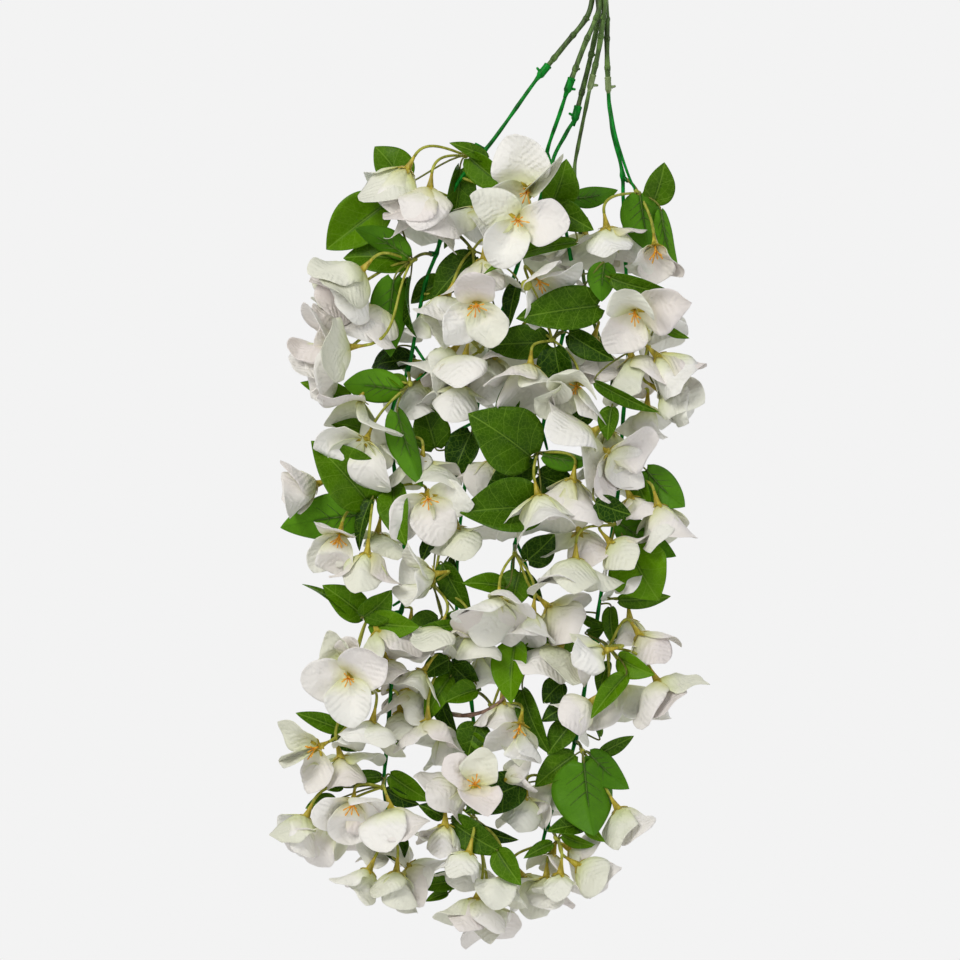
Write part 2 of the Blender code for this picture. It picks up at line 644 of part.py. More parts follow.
def leaf_mesh(cluster, leaf, share, slide, scale, swing, lift, thickness):
    """A petiole and a blade in one strip of four panels, arched a little to its upper side.

    slide moves its foot along the twig, scale is of the blade, swing turns it about the upright in degrees,
    and lift moves it back in millimetres.
    """
    shape = bmesh.new()
    bmesh.ops.create_grid(shape, x_segments=1, y_segments=4, size=1.0)
    tip, along_twig = peg_end(cluster)
    start = (tip + along_twig * GAP).lerp(hub_of(cluster), min(max(share + slide, 0.1), 0.85))
    base = place(*leaf.base) + Vector((0, lift, 0))
    point = place(*leaf.tip) + Vector((0, lift, 0))
    point = base + Matrix.Rotation(math.radians(swing), 3, "Z") @ (point - base) * scale
    along, across = strip_frame(base, point, leaf.roll)
    face = across.cross(along)
    petiole = (base - start).normalized()
    petiole_across = across - petiole * petiole.dot(across)
    if petiole_across.length < 0.4:
        petiole_across = face - petiole * petiole.dot(face)
    petiole_across.normalize()
    length = (point - base).length
    rows = [
        (start, petiole_across * PETIOLE_HALF_WIDTH),
        (base, (petiole_across + across).normalized() * PETIOLE_HALF_WIDTH),
        (base.lerp(point, 0.32) + face * 0.06 * length, across * 0.50 * leaf.width * scale),
        (base.lerp(point, 0.66) + face * 0.05 * length, across * 0.37 * leaf.width * scale),
        (point, across * 0.8),
    ]
    for vertex in shape.verts:
        centre, half_width = rows[round((vertex.co.y + 1) * 2)]
        vertex.co = centre + half_width * math.copysign(1.0, vertex.co.x)
    return shell(shape, thickness)


def strip_frame(start, end, roll):
    """The directions along and across a strip that faces the front, turned by roll about its length."""
    along = (end - start).normalized()
    toward = Vector((0, -1, 0))
    face = (toward - along * toward.dot(along)).normalized()
    face = Matrix.Rotation(math.radians(roll), 3, along) @ face
    return along, along.cross(face)


def shell(shape, thickness):
    """The open surface with Solidify, as a mesh. The bmesh is freed."""
    sheet = object_of("sheet", mesh_of("sheet", shape), bpy.context.scene.collection)
    wall = sheet.modifiers.new("wall", "SOLIDIFY")
    wall.thickness = thickness
    wall.offset = 0.0
    mesh = evaluated_mesh(sheet)
    bpy.data.objects.remove(sheet, do_unlink=True)
    shape = bmesh.new()
    shape.from_mesh(mesh)
    bmesh.ops.triangulate(shape, faces=shape.faces)
    bmesh.ops.recalc_face_normals(shape, faces=shape.faces)
    shape.to_mesh(mesh)
    shape.free()
    return mesh


# ---------------------------------------------------------------- nodes
BLOOM_SCALES = (1.0, 0.92, 0.85, 0.78, 0.7, 0.62, 0.54, 0.46, 0.38)
BLOOM_TRIES = [(scale, shift) for scale in BLOOM_SCALES for shift in (0, 20, -20, 40, -40, 60)]
LEAF_TRIES = [
    (slide, scale, swing, lift)
    for scale in (1.0, 0.8, 0.6, 0.45)
    for swing in (0, 20, -20, 45, -45)
    for lift in (0, -8, 8)
    for slide in (0, 0.2, -0.2)
]
STALK_BOWS = [
    (0, 0, 6), (0, -12, 4), (0, 12, 4), (12, 0, 4), (-12, 0, 4), (0, -22, 8), (0, 22, 8), (0, 0, 20),
    (20, -14, 0), (-20, -14, 0), (20, 14, 0), (-20, 14, 0), (0, -30, 16), (0, 30, 16),
]


def node(name, mesh, collection, material):
    """A finished node: its mesh taken from millimetres to metres, smooth except at sharp edges."""
    mesh.transform(Matrix.Scale(MILLIMETRE, 4))
    mesh.name = name
    mesh.materials.clear()
    mesh.materials.append(material)
    mesh.shade_smooth()
    mesh.set_sharp_from_angle(angle=math.radians(40))
    return object_of(name, mesh, collection)


def spray_name(cluster):
    return f"flower_spray_{cluster.number:02d}"


def sprig_name(cluster):
    return f"leaf_sprig_{cluster.number:02d}"


def first_clear(keep_out, name, friends, tries, make):
    """The first try that runs into nothing but friends, or else into the fewest, and its mesh."""
    fewest = None
    for attempt in tries:
        mesh = make(attempt)
        found = keep_out.blockers(friends, mesh)
        if not found:
            return attempt, mesh
        if fewest is None or len(found) < len(fewest[2]):
            fewest = (attempt, mesh, found)
    print(f"{name} still runs into {sorted(set(fewest[2]))}")
    return fewest[0], fewest[1]


def build_frame(keep_out, collection):
    """The crown, the stems and the vines."""
    stem_plastic = plastic("olive_plastic_stem", STEM_COLOUR, 0.55)
    vine_plastic = plastic("green_plastic_vine", VINE_COLOUR, 0.4)
    crown = crown_mesh()
    keep_out.add("crown_stub", crown.copy())
    node("crown_stub", crown, collection, stem_plastic)
    for number in STEM_ROUTES:
        keep_out.add(f"stem_{number}", stem_mesh(number, STEM_RADIUS + CLEARANCE))
        node(f"stem_{number}", stem_mesh(number), collection, stem_plastic)
    for number in VINE_ROUTES:
        keep_out.add(f"vine_{number}", vine_mesh(number, CLEARANCE))
        node(f"vine_{number}", vine_mesh(number), collection, vine_plastic)


def build_stalks(keep_out):
    """The twigs, knuckles and stalks of all clusters, as lists of meshes by node."""
    pieces = {}
    for cluster in CLUSTERS:
        if cluster.leaves:
            name = sprig_name(cluster)
            pieces[name] = [twig_mesh(cluster)]
            keep_out.add(f"{name}/twig", twig_mesh(cluster, CLEARANCE))
        if cluster.blooms:
            name = spray_name(cluster)
            pieces[name] = [knuckle_mesh(cluster)]
            keep_out.add(f"{name}/knuckle", knuckle_mesh(cluster, CLEARANCE))
    for cluster in CLUSTERS:
        name = spray_name(cluster)
        friends = (f"{name}/knuckle", f"{name}/stalk")
        for number, bloom in enumerate(cluster.blooms):
            bow, mesh = first_clear(
                keep_out, f"{name}/stalk_{number}", friends, STALK_BOWS,
                lambda bow: stalk_mesh(cluster, bloom, Vector(bow)),
            )
            pieces[name].append(mesh)
            keep_out.add(f"{name}/stalk_{number}", stalk_mesh(cluster, bloom, Vector(bow), CLEARANCE))
    return pieces


def build_blooms(keep_out, pieces):
    """Every bloom, those nearest the front first, so that they keep their size."""
    rows = []
    for cluster in CLUSTERS:
        for number, bloom in enumerate(cluster.blooms):
            rows.append((bloom.y, cluster, number, bloom))
    fat = PETAL_THICKNESS + 2 * CLEARANCE
    for _, cluster, number, bloom in sorted(rows, key=lambda row: row[0]):
        name = spray_name(cluster)
        friends = (f"{name}/stalk_{number}",)
        chosen, mesh = first_clear(
            keep_out, f"{name}/bloom_{number}", friends, BLOOM_TRIES,
            lambda attempt: bloom_mesh(bloom, *attempt, PETAL_THICKNESS),
        )
        pieces[name].append(mesh)
        keep_out.add(f"{name}/bloom_{number}", bloom_mesh(bloom, *chosen, fat))


def build_leaves(keep_out, pieces):
    """Every leaf, those nearest the front first. Their petioles are spread along the twig."""
    rows = []
    for cluster in CLUSTERS:
        for number, leaf in enumerate(cluster.leaves):
            share = 0.2 + 0.6 * (number + 0.5) / len(cluster.leaves)
            rows.append((leaf.tip[2], cluster, number, leaf, share))
    fat = LEAF_THICKNESS + 2 * CLEARANCE
    for _, cluster, number, leaf, share in sorted(rows, key=lambda row: row[0]):
        name = sprig_name(cluster)
        chosen, mesh = first_clear(
            keep_out, f"{name}/leaf_{number}", (f"{name}/twig",), LEAF_TRIES,
            lambda attempt: leaf_mesh(cluster, leaf, share, *attempt, LEAF_THICKNESS),
        )
        pieces[name].append(mesh)
        keep_out.add(f"{name}/leaf_{number}", leaf_mesh(cluster, leaf, share, *chosen, fat))


def main():
    clear_scene()
    collection = new_collection("bougainvillea_hanging_spray")
    keep_out = KeepOut()
    build_frame(keep_out, collection)
    pieces = build_stalks(keep_out)
    build_blooms(keep_out, pieces)
    build_leaves(keep_out, pieces)
    leaf_fabric = plastic("green_fabric_leaf", LEAF_COLOUR, 0.5)
    petal_fabric = plastic("white_fabric_petal", PETAL_COLOUR, 0.8)
    for name, meshes in pieces.items():
        material = leaf_fabric if name.startswith("leaf") else petal_fabric
        node(name, joined(meshes), collection, material)


if __name__ == "__main__":
    main()
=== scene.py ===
"""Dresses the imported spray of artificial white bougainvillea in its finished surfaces.

Five olive stems leave a moulded crown stub, each grips a trailing vine, and the vines carry twigs with cloth
leaves on moulded ribs and whorls of stalks that end in three-petalled cloth blooms. Every shape is a function
of two parameters on a grid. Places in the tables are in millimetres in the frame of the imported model: x to
the right, drop, the distance below the crown's flat top, and y away from the front.
"""

import logging
import math
from dataclasses import dataclass, field
from enum import Enum

import bpy
import numpy as np
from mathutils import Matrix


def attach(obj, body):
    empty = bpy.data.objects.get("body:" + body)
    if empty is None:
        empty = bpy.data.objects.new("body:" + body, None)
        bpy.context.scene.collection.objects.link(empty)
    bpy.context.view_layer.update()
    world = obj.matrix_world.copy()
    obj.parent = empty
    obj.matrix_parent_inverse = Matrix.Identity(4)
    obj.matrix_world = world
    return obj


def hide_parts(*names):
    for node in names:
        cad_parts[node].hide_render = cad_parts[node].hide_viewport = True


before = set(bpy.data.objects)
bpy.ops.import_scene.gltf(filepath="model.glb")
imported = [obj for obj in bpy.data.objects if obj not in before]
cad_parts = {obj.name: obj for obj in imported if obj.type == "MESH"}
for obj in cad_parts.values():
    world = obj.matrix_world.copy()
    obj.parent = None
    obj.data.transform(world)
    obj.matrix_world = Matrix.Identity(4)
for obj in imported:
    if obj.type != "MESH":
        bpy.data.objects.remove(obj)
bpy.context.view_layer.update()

LOG = logging.getLogger("spray")
MM = 0.001
TURN = 2 * math.pi
UP, AWAY = np.array([0.0, 0.0, 1.0]), np.array([0.0, 1.0, 0.0])
BODY = "root"
ROUTE_STEP = 2.0 * MM

Point = tuple[float, float, float]
Stop = tuple[float, str]
Material, Socket = bpy.types.Material, bpy.types.NodeSocket
Feed = Socket | float | tuple[float, ...]


class PrintAndLightTone(Enum):
    """How deep the green of a leaf is, from 0 for the darkest to 1 for the brightest: partly the leaf's print
    and partly painted light and shade, with leaves in light given brighter tones and leaves in shade darker
    ones.
    """

    DARK = 0.0
    DEEP = 0.3
    MID = 0.55
    FRESH = 0.8
    BRIGHT = 1.0


D, P, M, F, B = PrintAndLightTone


# ---------------------------------------------------------------- geometry
def place(x: float, drop: float, y: float) -> np.ndarray:
    """A place in the tables, in millimetres, as a point in metres."""
    return np.array([x, y, -drop]) * MM


def unit(vectors: np.ndarray) -> np.ndarray:
    """The vectors along the last axis, each made one long."""
    return vectors / np.maximum(np.linalg.norm(vectors, axis=-1, keepdims=True), 1e-12)


def ring_angles(count: int) -> np.ndarray:
    """Even angles round a circle, in radians."""
    return np.linspace(0.0, TURN, count, endpoint=False)


def turned(radius: np.ndarray, angle: np.ndarray, height: np.ndarray) -> np.ndarray:
    """Points from cylinder coordinates, with x, y and z along the last axis."""
    return np.stack([radius * np.cos(angle), radius * np.sin(angle), height + 0.0 * angle], axis=-1)


def smooth_route(knots: list[np.ndarray], step: float) -> np.ndarray:
    """Points about a step apart on the Catmull-Rom curve through the knots.

    Each span is the cubic whose end slopes are half the chord between the knots on either side.

    Args:
        knots: the points that the curve passes through.
        step: the spacing in metres.

    Returns:
        The points, one a row.
    """
    knots = np.array(knots)
    before, after = np.vstack([knots[:1], knots[:-2]]), np.vstack([knots[2:], knots[-1:]])
    start, end = knots[:-1], knots[1:]
    counts = np.maximum(2, np.ceil(np.linalg.norm(end - start, axis=1) / step).astype(int))
    span = np.repeat(np.arange(len(start)), counts)
    first = np.repeat(np.cumsum(counts) - counts, counts)
    share = ((np.arange(len(span)) - first) / counts[span])[:, None]
    leave, arrive = (end - before)[span] / 2, (after - start)[span] / 2
    cube, square = share**3, share**2
    route = (2 * cube - 3 * square + 1) * start[span] + (cube - 2 * square + share) * leave
    route += (3 * square - 2 * cube) * end[span] + (cube - square) * arrive
    return np.vstack([route, knots[-1:]])


def bezier(a: np.ndarray, b: np.ndarray, c: np.ndarray, d: np.ndarray, count: int) -> np.ndarray:
    """Points on a cubic Bezier curve.

    Args:
        a: the start.
        b: the start's handle.
        c: the end's handle.
        d: the end.
        count: how many points, at even steps of the parameter.

    Returns:
        The points, one a row.
    """
    t = np.linspace(0.0, 1.0, count)[:, None]
    return (1 - t) ** 3 * a + 3 * (1 - t) ** 2 * t * b + 3 * (1 - t) * t**2 * c + t**3 * d


def at_drop(path: np.ndarray, drop: float) -> np.ndarray:
    """The point of a path nearest to a drop in millimetres."""
    return path[int(np.argmin(np.abs(path[:, 2] + drop * MM)))]


def normals_of(points: np.ndarray) -> np.ndarray:
    """Unit normals of a grid of points, from the cross product of its two gradients."""
    return unit(np.cross(np.gradient(points, axis=1), np.gradient(points, axis=0)))


def on_grid(*parts: np.ndarray | float) -> np.ndarray:
    """The parts, each spread over the grid that they share, along a new last axis."""
    return np.stack(np.broadcast_arrays(*parts), axis=-1)


class MeshBuffer:
    """Gathers closed surfaces with what their materials read, and makes one object of them.

    The layer blade holds metres across, metres along and a number that differs from piece to piece. The
    layer share holds a share across or a tone, the share along, and 1 on an under side.
    """

    def __init__(self) -> None:
        """Starts empty."""
        self.points: list[np.ndarray] = []
        self.layers: dict[str, list[np.ndarray]] = {"blade": [], "share": []}
        self.faces: list[tuple[np.ndarray, int]] = []
        self.count = 0

    def _keep(self, points: np.ndarray, blade: np.ndarray, share: np.ndarray) -> int:
        """Stores points with their two layers.

        Args:
            points: rows of x, y and z.
            blade: rows of the layer blade.
            share: rows of the layer share.

        Returns:
            The number of the first point.
        """
        first = self.count
        self.points.append(points.reshape(-1, 3))
        self.layers["blade"].append(blade.reshape(-1, 3))
        self.layers["share"].append(share.reshape(-1, 3))
        self.count += len(self.points[-1])
        return first

    def add_shell(
        self, points: np.ndarray, thickness: float, blade: np.ndarray, share: np.ndarray,
        under_finish: int = 0,
    ) -> None:
        """Adds a thin closed sheet: a grid, its copy moved back along the normals, and a rim between the two.

        Args:
            points: a grid of points, the side that its normals leave being the upper one.
            thickness: metres between the two sides.
            blade: the layer blade on the same grid.
            share: the first two numbers of the layer share on the same grid.
            under_finish: the material number of the under side and the rim. The upper side has 0.
        """
        rows, columns = points.shape[:2]
        offset = normals_of(points) * thickness / 2
        upper, under = (np.dstack([share, np.full((rows, columns), side)]) for side in (0.0, 1.0))
        first = self._keep(points + offset, blade, upper)
        self._keep(points - offset, blade, under)
        grid = np.arange(rows * columns).reshape(rows, columns) + first
        cells = np.stack([grid[:-1, :-1], grid[1:, :-1], grid[1:, 1:], grid[:-1, 1:]], axis=-1).reshape(-1, 4)
        ring = np.concatenate([grid[0, :-1], grid[:-1, -1], grid[-1, :0:-1], grid[:0:-1, 0]])
        beyond, back = np.roll(ring, -1), rows * columns
        rim = np.stack([ring, beyond, beyond + back, ring + back], axis=-1)
        self.faces += [(cells[:, ::-1], 0), (cells + back, under_finish), (rim[:, ::-1], under_finish)]

    def add_tube(
        self, path: np.ndarray, radii: np.ndarray, sides: int, finish: int = 0, own: float = 0.0,
        upright: np.ndarray | None = None,
    ) -> None:
        """Adds a closed tube: a ring about each point of the path, square to it, and a cap at each end.

        The rings are set out from the direction that the path runs along least, so that they don't turn.

        Args:
            path: the middle line, one point a row.
            radii: the radius at each point.
            sides: how many points a ring has.
            finish: the material number.
            own: the number that differs from piece to piece.
            upright: the direction to set the rings out from, if not found from the path.
        """
        along = unit(np.gradient(path, axis=0))
        if upright is None:
            upright = np.linalg.svd(along)[2][-1]
        first_arm = unit(np.cross(along, upright))
        second_arm = np.cross(along, first_arm)
        angle = ring_angles(sides)[:, None]
        arms = first_arm[:, None] * np.cos(angle) + second_arm[:, None] * np.sin(angle)
        rings = path[:, None] + arms * radii[:, None, None]
        self.add_rings(rings[:, ::-1], path[0], path[-1], finish, own)

    def add_peg(
        self, root: np.ndarray, way: np.ndarray, reach: tuple[float, float], radii: list[float], sides: int,
        finish: int = 0, own: float = 0.0,
    ) -> None:
        """Adds a short straight tube.

        Args:
            root: the point that its reach is measured from, in metres.
            way: its direction.
            reach: where it starts and ends, in millimetres from the root.
            radii: its radii in millimetres, at even steps.
            sides: how many points a ring has.
            finish: the material number.
            own: the number that differs from piece to piece.
        """
        path = root + np.linspace(*reach, len(radii))[:, None] * way * MM
        self.add_tube(path, np.array(radii) * MM, sides, finish, own)

    def add_rings(
        self, rings: np.ndarray, head: np.ndarray, foot: np.ndarray, finish: int = 0, own: float = 0.0
    ) -> None:
        """Adds a closed surface through rings of points, capped to head at one end and to foot at the other.

        Args:
            rings: rows of rings.
            head: the middle of the first cap.
            foot: the middle of the last cap.
            finish: the material number.
            own: the number that differs from piece to piece.
        """
        rows, sides = rings.shape[:2]
        lengths = np.linalg.norm(np.diff(rings.mean(axis=1), axis=0), axis=1)
        reach = np.concatenate([[0.0], np.cumsum(lengths)])[:, None]
        share = on_grid(np.arange(sides) / sides, np.linspace(0.0, 1.0, rows)[:, None], 0.0)
        blade = on_grid(np.zeros(sides), reach, own)
        first = self._keep(rings, blade, share)
        ends = self._keep(np.stack([head, foot]), blade[[0, -1], 0], share[[0, -1], 0])
        grid = np.arange(rows * sides).reshape(rows, sides) + first
        beyond = np.roll(grid, -1, axis=1)
        quads = np.stack([grid[:-1], grid[1:], beyond[1:], beyond[:-1]], axis=-1).reshape(-1, 4)
        top, bottom = on_grid(grid[0], beyond[0], ends), on_grid(beyond[-1], grid[-1], ends + 1)
        self.faces += [(quads, finish), (top, finish), (bottom, finish)]

    def piece(self, name: str, *materials: Material) -> bpy.types.Object:
        """Makes the object, smooth, with the layers blade and share on its points.

        Args:
            name: the object's name.
            materials: its materials, in the order of the finish numbers.

        Returns:
            The object, linked to the scene.
        """
        faces = sorted(self.faces, key=lambda held: -held[0].shape[1])  # all quads, then all triangles
        corners = np.concatenate([rows.ravel() for rows, _ in faces])
        sizes = np.concatenate([np.full(len(rows), rows.shape[1]) for rows, _ in faces])
        finishes = np.concatenate([np.full(len(rows), finish) for rows, finish in faces])
        mesh = bpy.data.meshes.new(name)
        mesh.vertices.add(self.count)
        mesh.vertices.foreach_set("co", np.concatenate(self.points).astype(np.float32).ravel())
        mesh.loops.add(len(corners))
        mesh.loops.foreach_set("vertex_index", corners.astype(np.int32))
        mesh.polygons.add(len(sizes))
        mesh.polygons.foreach_set("loop_start", (np.cumsum(sizes) - sizes).astype(np.int32))
        mesh.polygons.foreach_set("material_index", finishes.astype(np.int32))
        mesh.update(calc_edges=True)
        for layer_name, rows in self.layers.items():
            layer = mesh.attributes.new(layer_name, "FLOAT_VECTOR", "POINT")
            layer.data.foreach_set("vector", np.concatenate(rows).astype(np.float32).ravel())
        for material in materials:
            mesh.materials.append(material)
        mesh.shade_smooth()
        obj = bpy.data.objects.new(name, mesh)
        bpy.context.scene.collection.objects.link(obj)
        return obj


# ---------------------------------------------------------------- blooms
@dataclass(frozen=True)
class Bloom:
    """One bloom: where its throat is, which way it opens, and how far.

    aim is the angle of its mouth in the front plane, from the right and counter-clockwise, toward is how far
    the mouth tilts to the front, and spread is the angle between a petal and the bloom's axis. turns has the
    place of each petal about the axis, or that of the first of three at even turns. An open bloom shows its
    stamens, and pinched numbers a petal that is folded shut.
    """

    x: float
    drop: float
    y: float
    aim: float
    toward: float
    size: float
    spread: float
    turns: tuple[float, ...] = (90,)
    open: bool = False
    pinched: int = -1

    @property
    def axis(self) -> np.ndarray:
        """The direction that the mouth points in."""
        aim, toward = math.radians(self.aim), math.radians(self.toward)
        across = math.cos(toward)
        return np.array([math.cos(aim) * across, -math.sin(toward), math.sin(aim) * across])

    @property
    def frame(self) -> np.ndarray:
        """Rows of side, front and axis, which turn the bloom's own coordinates into places."""
        aim = math.radians(self.aim)
        side = np.array([-math.sin(aim), 0.0, math.cos(aim)])
        return np.stack([side, np.cross(self.axis, side), self.axis])

    @property
    def throat(self) -> np.ndarray:
        """Where the petals leave the calyx."""
        return place(self.x, self.drop, self.y)

    @property
    def petal_turns(self) -> tuple[float, ...]:
        """The angle of each petal about the axis, in degrees."""
        first = self.turns[0]
        return self.turns if len(self.turns) > 1 else (first, first + 120.0, first + 240.0)


def slope_of(reach: np.ndarray, spread: float) -> np.ndarray:
    """The angle between a petal and the bloom's axis: a near-level shoulder that dies away into the spread.

    Args:
        reach: metres from the throat.
        spread: the angle that the petal settles at.

    Returns:
        The angle at each reach.
    """
    shoulder, shoulder_length = 1.32, 5.5 * MM
    return spread + max(shoulder - spread, 0.0) * np.exp(-reach / shoulder_length)


class Petal:
    """One petal: the numbers drawn for it, and the surface that follows from them. Lengths are in metres.

    Its middle line leaves the throat nearly level and bends over into the spread. Across it the petal is an
    arc about the bloom's axis, tight at the throat and flatter toward the tip.
    """

    rows, columns = 26, 15
    thickness = 0.32 * MM
    throat_radius = 1.9 * MM
    half_width = 0.49
    wrap = 0.86
    pleat_pitch = 6.4 * MM
    fold_round = 1.1 * MM
    crease_round = 1.2 * MM
    dent_length, dent_width = 0.16, 0.38
    pinch_width, pinch_rise = 0.3, 0.8

    def __init__(self, bloom: Bloom, turn: float, pinched: bool, draw: np.random.Generator) -> None:
        """Draws how the petal is cut, bent and creased.

        Args:
            bloom: the bloom that it belongs to.
            turn: its angle about the axis, in degrees.
            pinched: whether it is folded shut along its middle.
            draw: the random numbers of this bloom.
        """
        self.bloom, self.pinched = bloom, pinched
        self.length = bloom.size * MM * draw.uniform(1.0, 1.1)
        self.width = self.half_width * self.length * draw.uniform(0.86, 1.1)
        self.spread = math.radians(bloom.spread) * draw.uniform(0.88, 1.12)
        self.tip_turn, self.cup_tip = draw.uniform(-0.7, 0.9), draw.uniform(0.1, 0.6)
        self.crease, self.twist = draw.uniform(-0.2, 0.42), draw.uniform(-0.35, 0.35)
        self.ruffle, self.roll = draw.uniform(0.4, 1.5, 2) * MM, draw.uniform(-2.0, 3.4, 2) * MM
        self.waves, self.phases = draw.uniform(0.8, 2.2, 2), draw.uniform(0.0, TURN, 3)
        self.pleat = draw.uniform(0.02, 0.34) ** 1.6 * MM
        self.folds = draw.uniform((0.25, -0.75, -1.1, -0.36), (0.9, 0.75, 1.1, 0.36), (3, 4))
        self.corner, self.cut = draw.uniform(0.01, 0.15, 2), draw.uniform(0.6, 1.5, 2)
        self.dents = draw.uniform((0.2, -0.8, -1.5), (0.85, 0.8, 1.5), (4, 3))
        self.base_power, self.tip_power = draw.uniform(0.28, 0.44), draw.uniform(0.42, 0.82)
        self.angle = math.radians(turn + draw.uniform(-9.0, 9.0))
        self.own = draw.uniform()
        self.s = np.linspace(0.0, 1.0, self.rows)[:, None]
        self.t = np.linspace(-1.0, 1.0, self.columns)[None, :]

    def outline(self) -> np.ndarray:
        """Half-width at each share of length: broad from the start, with a short blunt point.

        A power of the share times a power of what is left, with a little of a straight taper mixed in.

        Returns:
            The half-width in metres.
        """
        s = self.s
        outline = (s + 0.02) ** self.base_power * (1.0 - s) ** self.tip_power
        outline = 0.8 * outline / outline.max() + 0.8 * s * (1.0 - s)
        return self.width * (outline / outline.max() + 0.012)

    def middle_line(self, slope: np.ndarray) -> tuple[np.ndarray, np.ndarray]:
        """How far the middle line is from the bloom's axis, and how far along it, summed up from its slope.

        Args:
            slope: the angle to the axis at each row.

        Returns:
            The distance out and the distance forward, one a row.
        """
        step, middle = self.length / (self.rows - 1), (slope[1:] + slope[:-1]) / 2
        out, forward = (
            np.concatenate([[[0.0]], np.cumsum(part(middle), axis=0)]) * step for part in (np.sin, np.cos)
        )
        return self.throat_radius + out, forward

    def relief(
        self, half: np.ndarray, reach: np.ndarray, lateral: np.ndarray, wave: np.ndarray
    ) -> np.ndarray:
        """How far the cloth stands off its plain arc, along its normal.

        A crease and a twist along the middle line, waved and rolled edges, straight folds, soft dents and
        slanting pleats. A fold bends the cloth about a line by a rounded distance from it.

        Args:
            half: the half-width at each row.
            reach: metres across the cloth from its middle line.
            lateral: metres across, straight through the air.
            wave: the wave of the edge on each side.

        Returns:
            The distance in metres, on the grid.
        """
        s, t = self.s, self.t
        side = (t > 0).astype(int)
        swell = np.sin(math.pi * np.clip(s * 1.1, 0.0, 1.0))
        stand = self.crease * np.sqrt(reach**2 + self.crease_round**2) * swell
        stand += lateral * np.tan(self.twist * s) + 0.5 * MM * t * (1.0 - s)
        edge = self.ruffle[side] * wave * np.abs(t) ** 2.4 + self.roll[side] * np.abs(t) ** 4
        stand += edge * swell**0.7
        for along, across, lean, bend in self.folds:
            away = (reach - across * half) * math.cos(lean) + (s - along) * self.length * math.sin(lean)
            rounded = np.sqrt(away**2 + self.fold_round**2) - self.fold_round
            stand += bend * rounded * np.clip(3.2 * s, 0.0, 1.0)
        for along, across, depth in self.dents:
            away = ((s - along) / self.dent_length) ** 2 + ((t - across) / self.dent_width) ** 2
            stand += depth * MM * np.exp(-away) * swell**0.5
        slant = (s * self.length - 0.6 * np.abs(reach)) / self.pleat_pitch
        return stand + self.pleat * np.sin(TURN * slant + self.phases[2]) * np.abs(t) ** 0.6 * swell**0.5

    def add_to(self, buffer: MeshBuffer) -> None:
        """Adds the petal's closed sheet.

        Args:
            buffer: where it goes.
        """
        s, t, side = self.s, self.t, (self.t > 0).astype(int)
        slope = slope_of(s * self.length, self.spread)
        slope = slope + self.tip_turn * np.clip((s - 0.5) / 0.5, 0.0, 1.0) ** 2
        out, forward = self.middle_line(slope)
        wave = np.sin(TURN * self.waves[side] * s + self.phases[side])
        jag = 2 / math.pi * np.arcsin(np.sin(TURN * (self.cut[side] * s + self.phases[side])))
        half = self.outline()
        cup = 1.0 + (self.cup_tip - 1.0) * s**0.8
        bend = np.minimum(cup * half / out, self.wrap - 0.5 * s) / half
        reach = half * t * (1.0 + 0.03 * wave + self.corner[side] * jag)
        lateral = np.sin(bend * reach) / bend
        inward = (1.0 - np.cos(bend * reach)) / bend + self.relief(half, reach, lateral, wave)
        if self.pinched:
            lateral, inward = self.pinch_width * lateral, inward + self.pinch_rise * np.abs(lateral)

        outward = np.array([math.cos(self.angle), math.sin(self.angle), 0.0])
        across = np.array([-math.sin(self.angle), math.cos(self.angle), 0.0])
        normal = -np.cos(slope)[..., None] * outward + np.sin(slope)[..., None] * UP
        local = out[..., None] * outward + forward[..., None] * UP
        local = local + lateral[..., None] * across + inward[..., None] * normal
        blade, share = on_grid(reach, s * self.length, self.own), on_grid(t, s)
        buffer.add_shell(self.bloom.throat + local @ self.bloom.frame, self.thickness, blade, share)


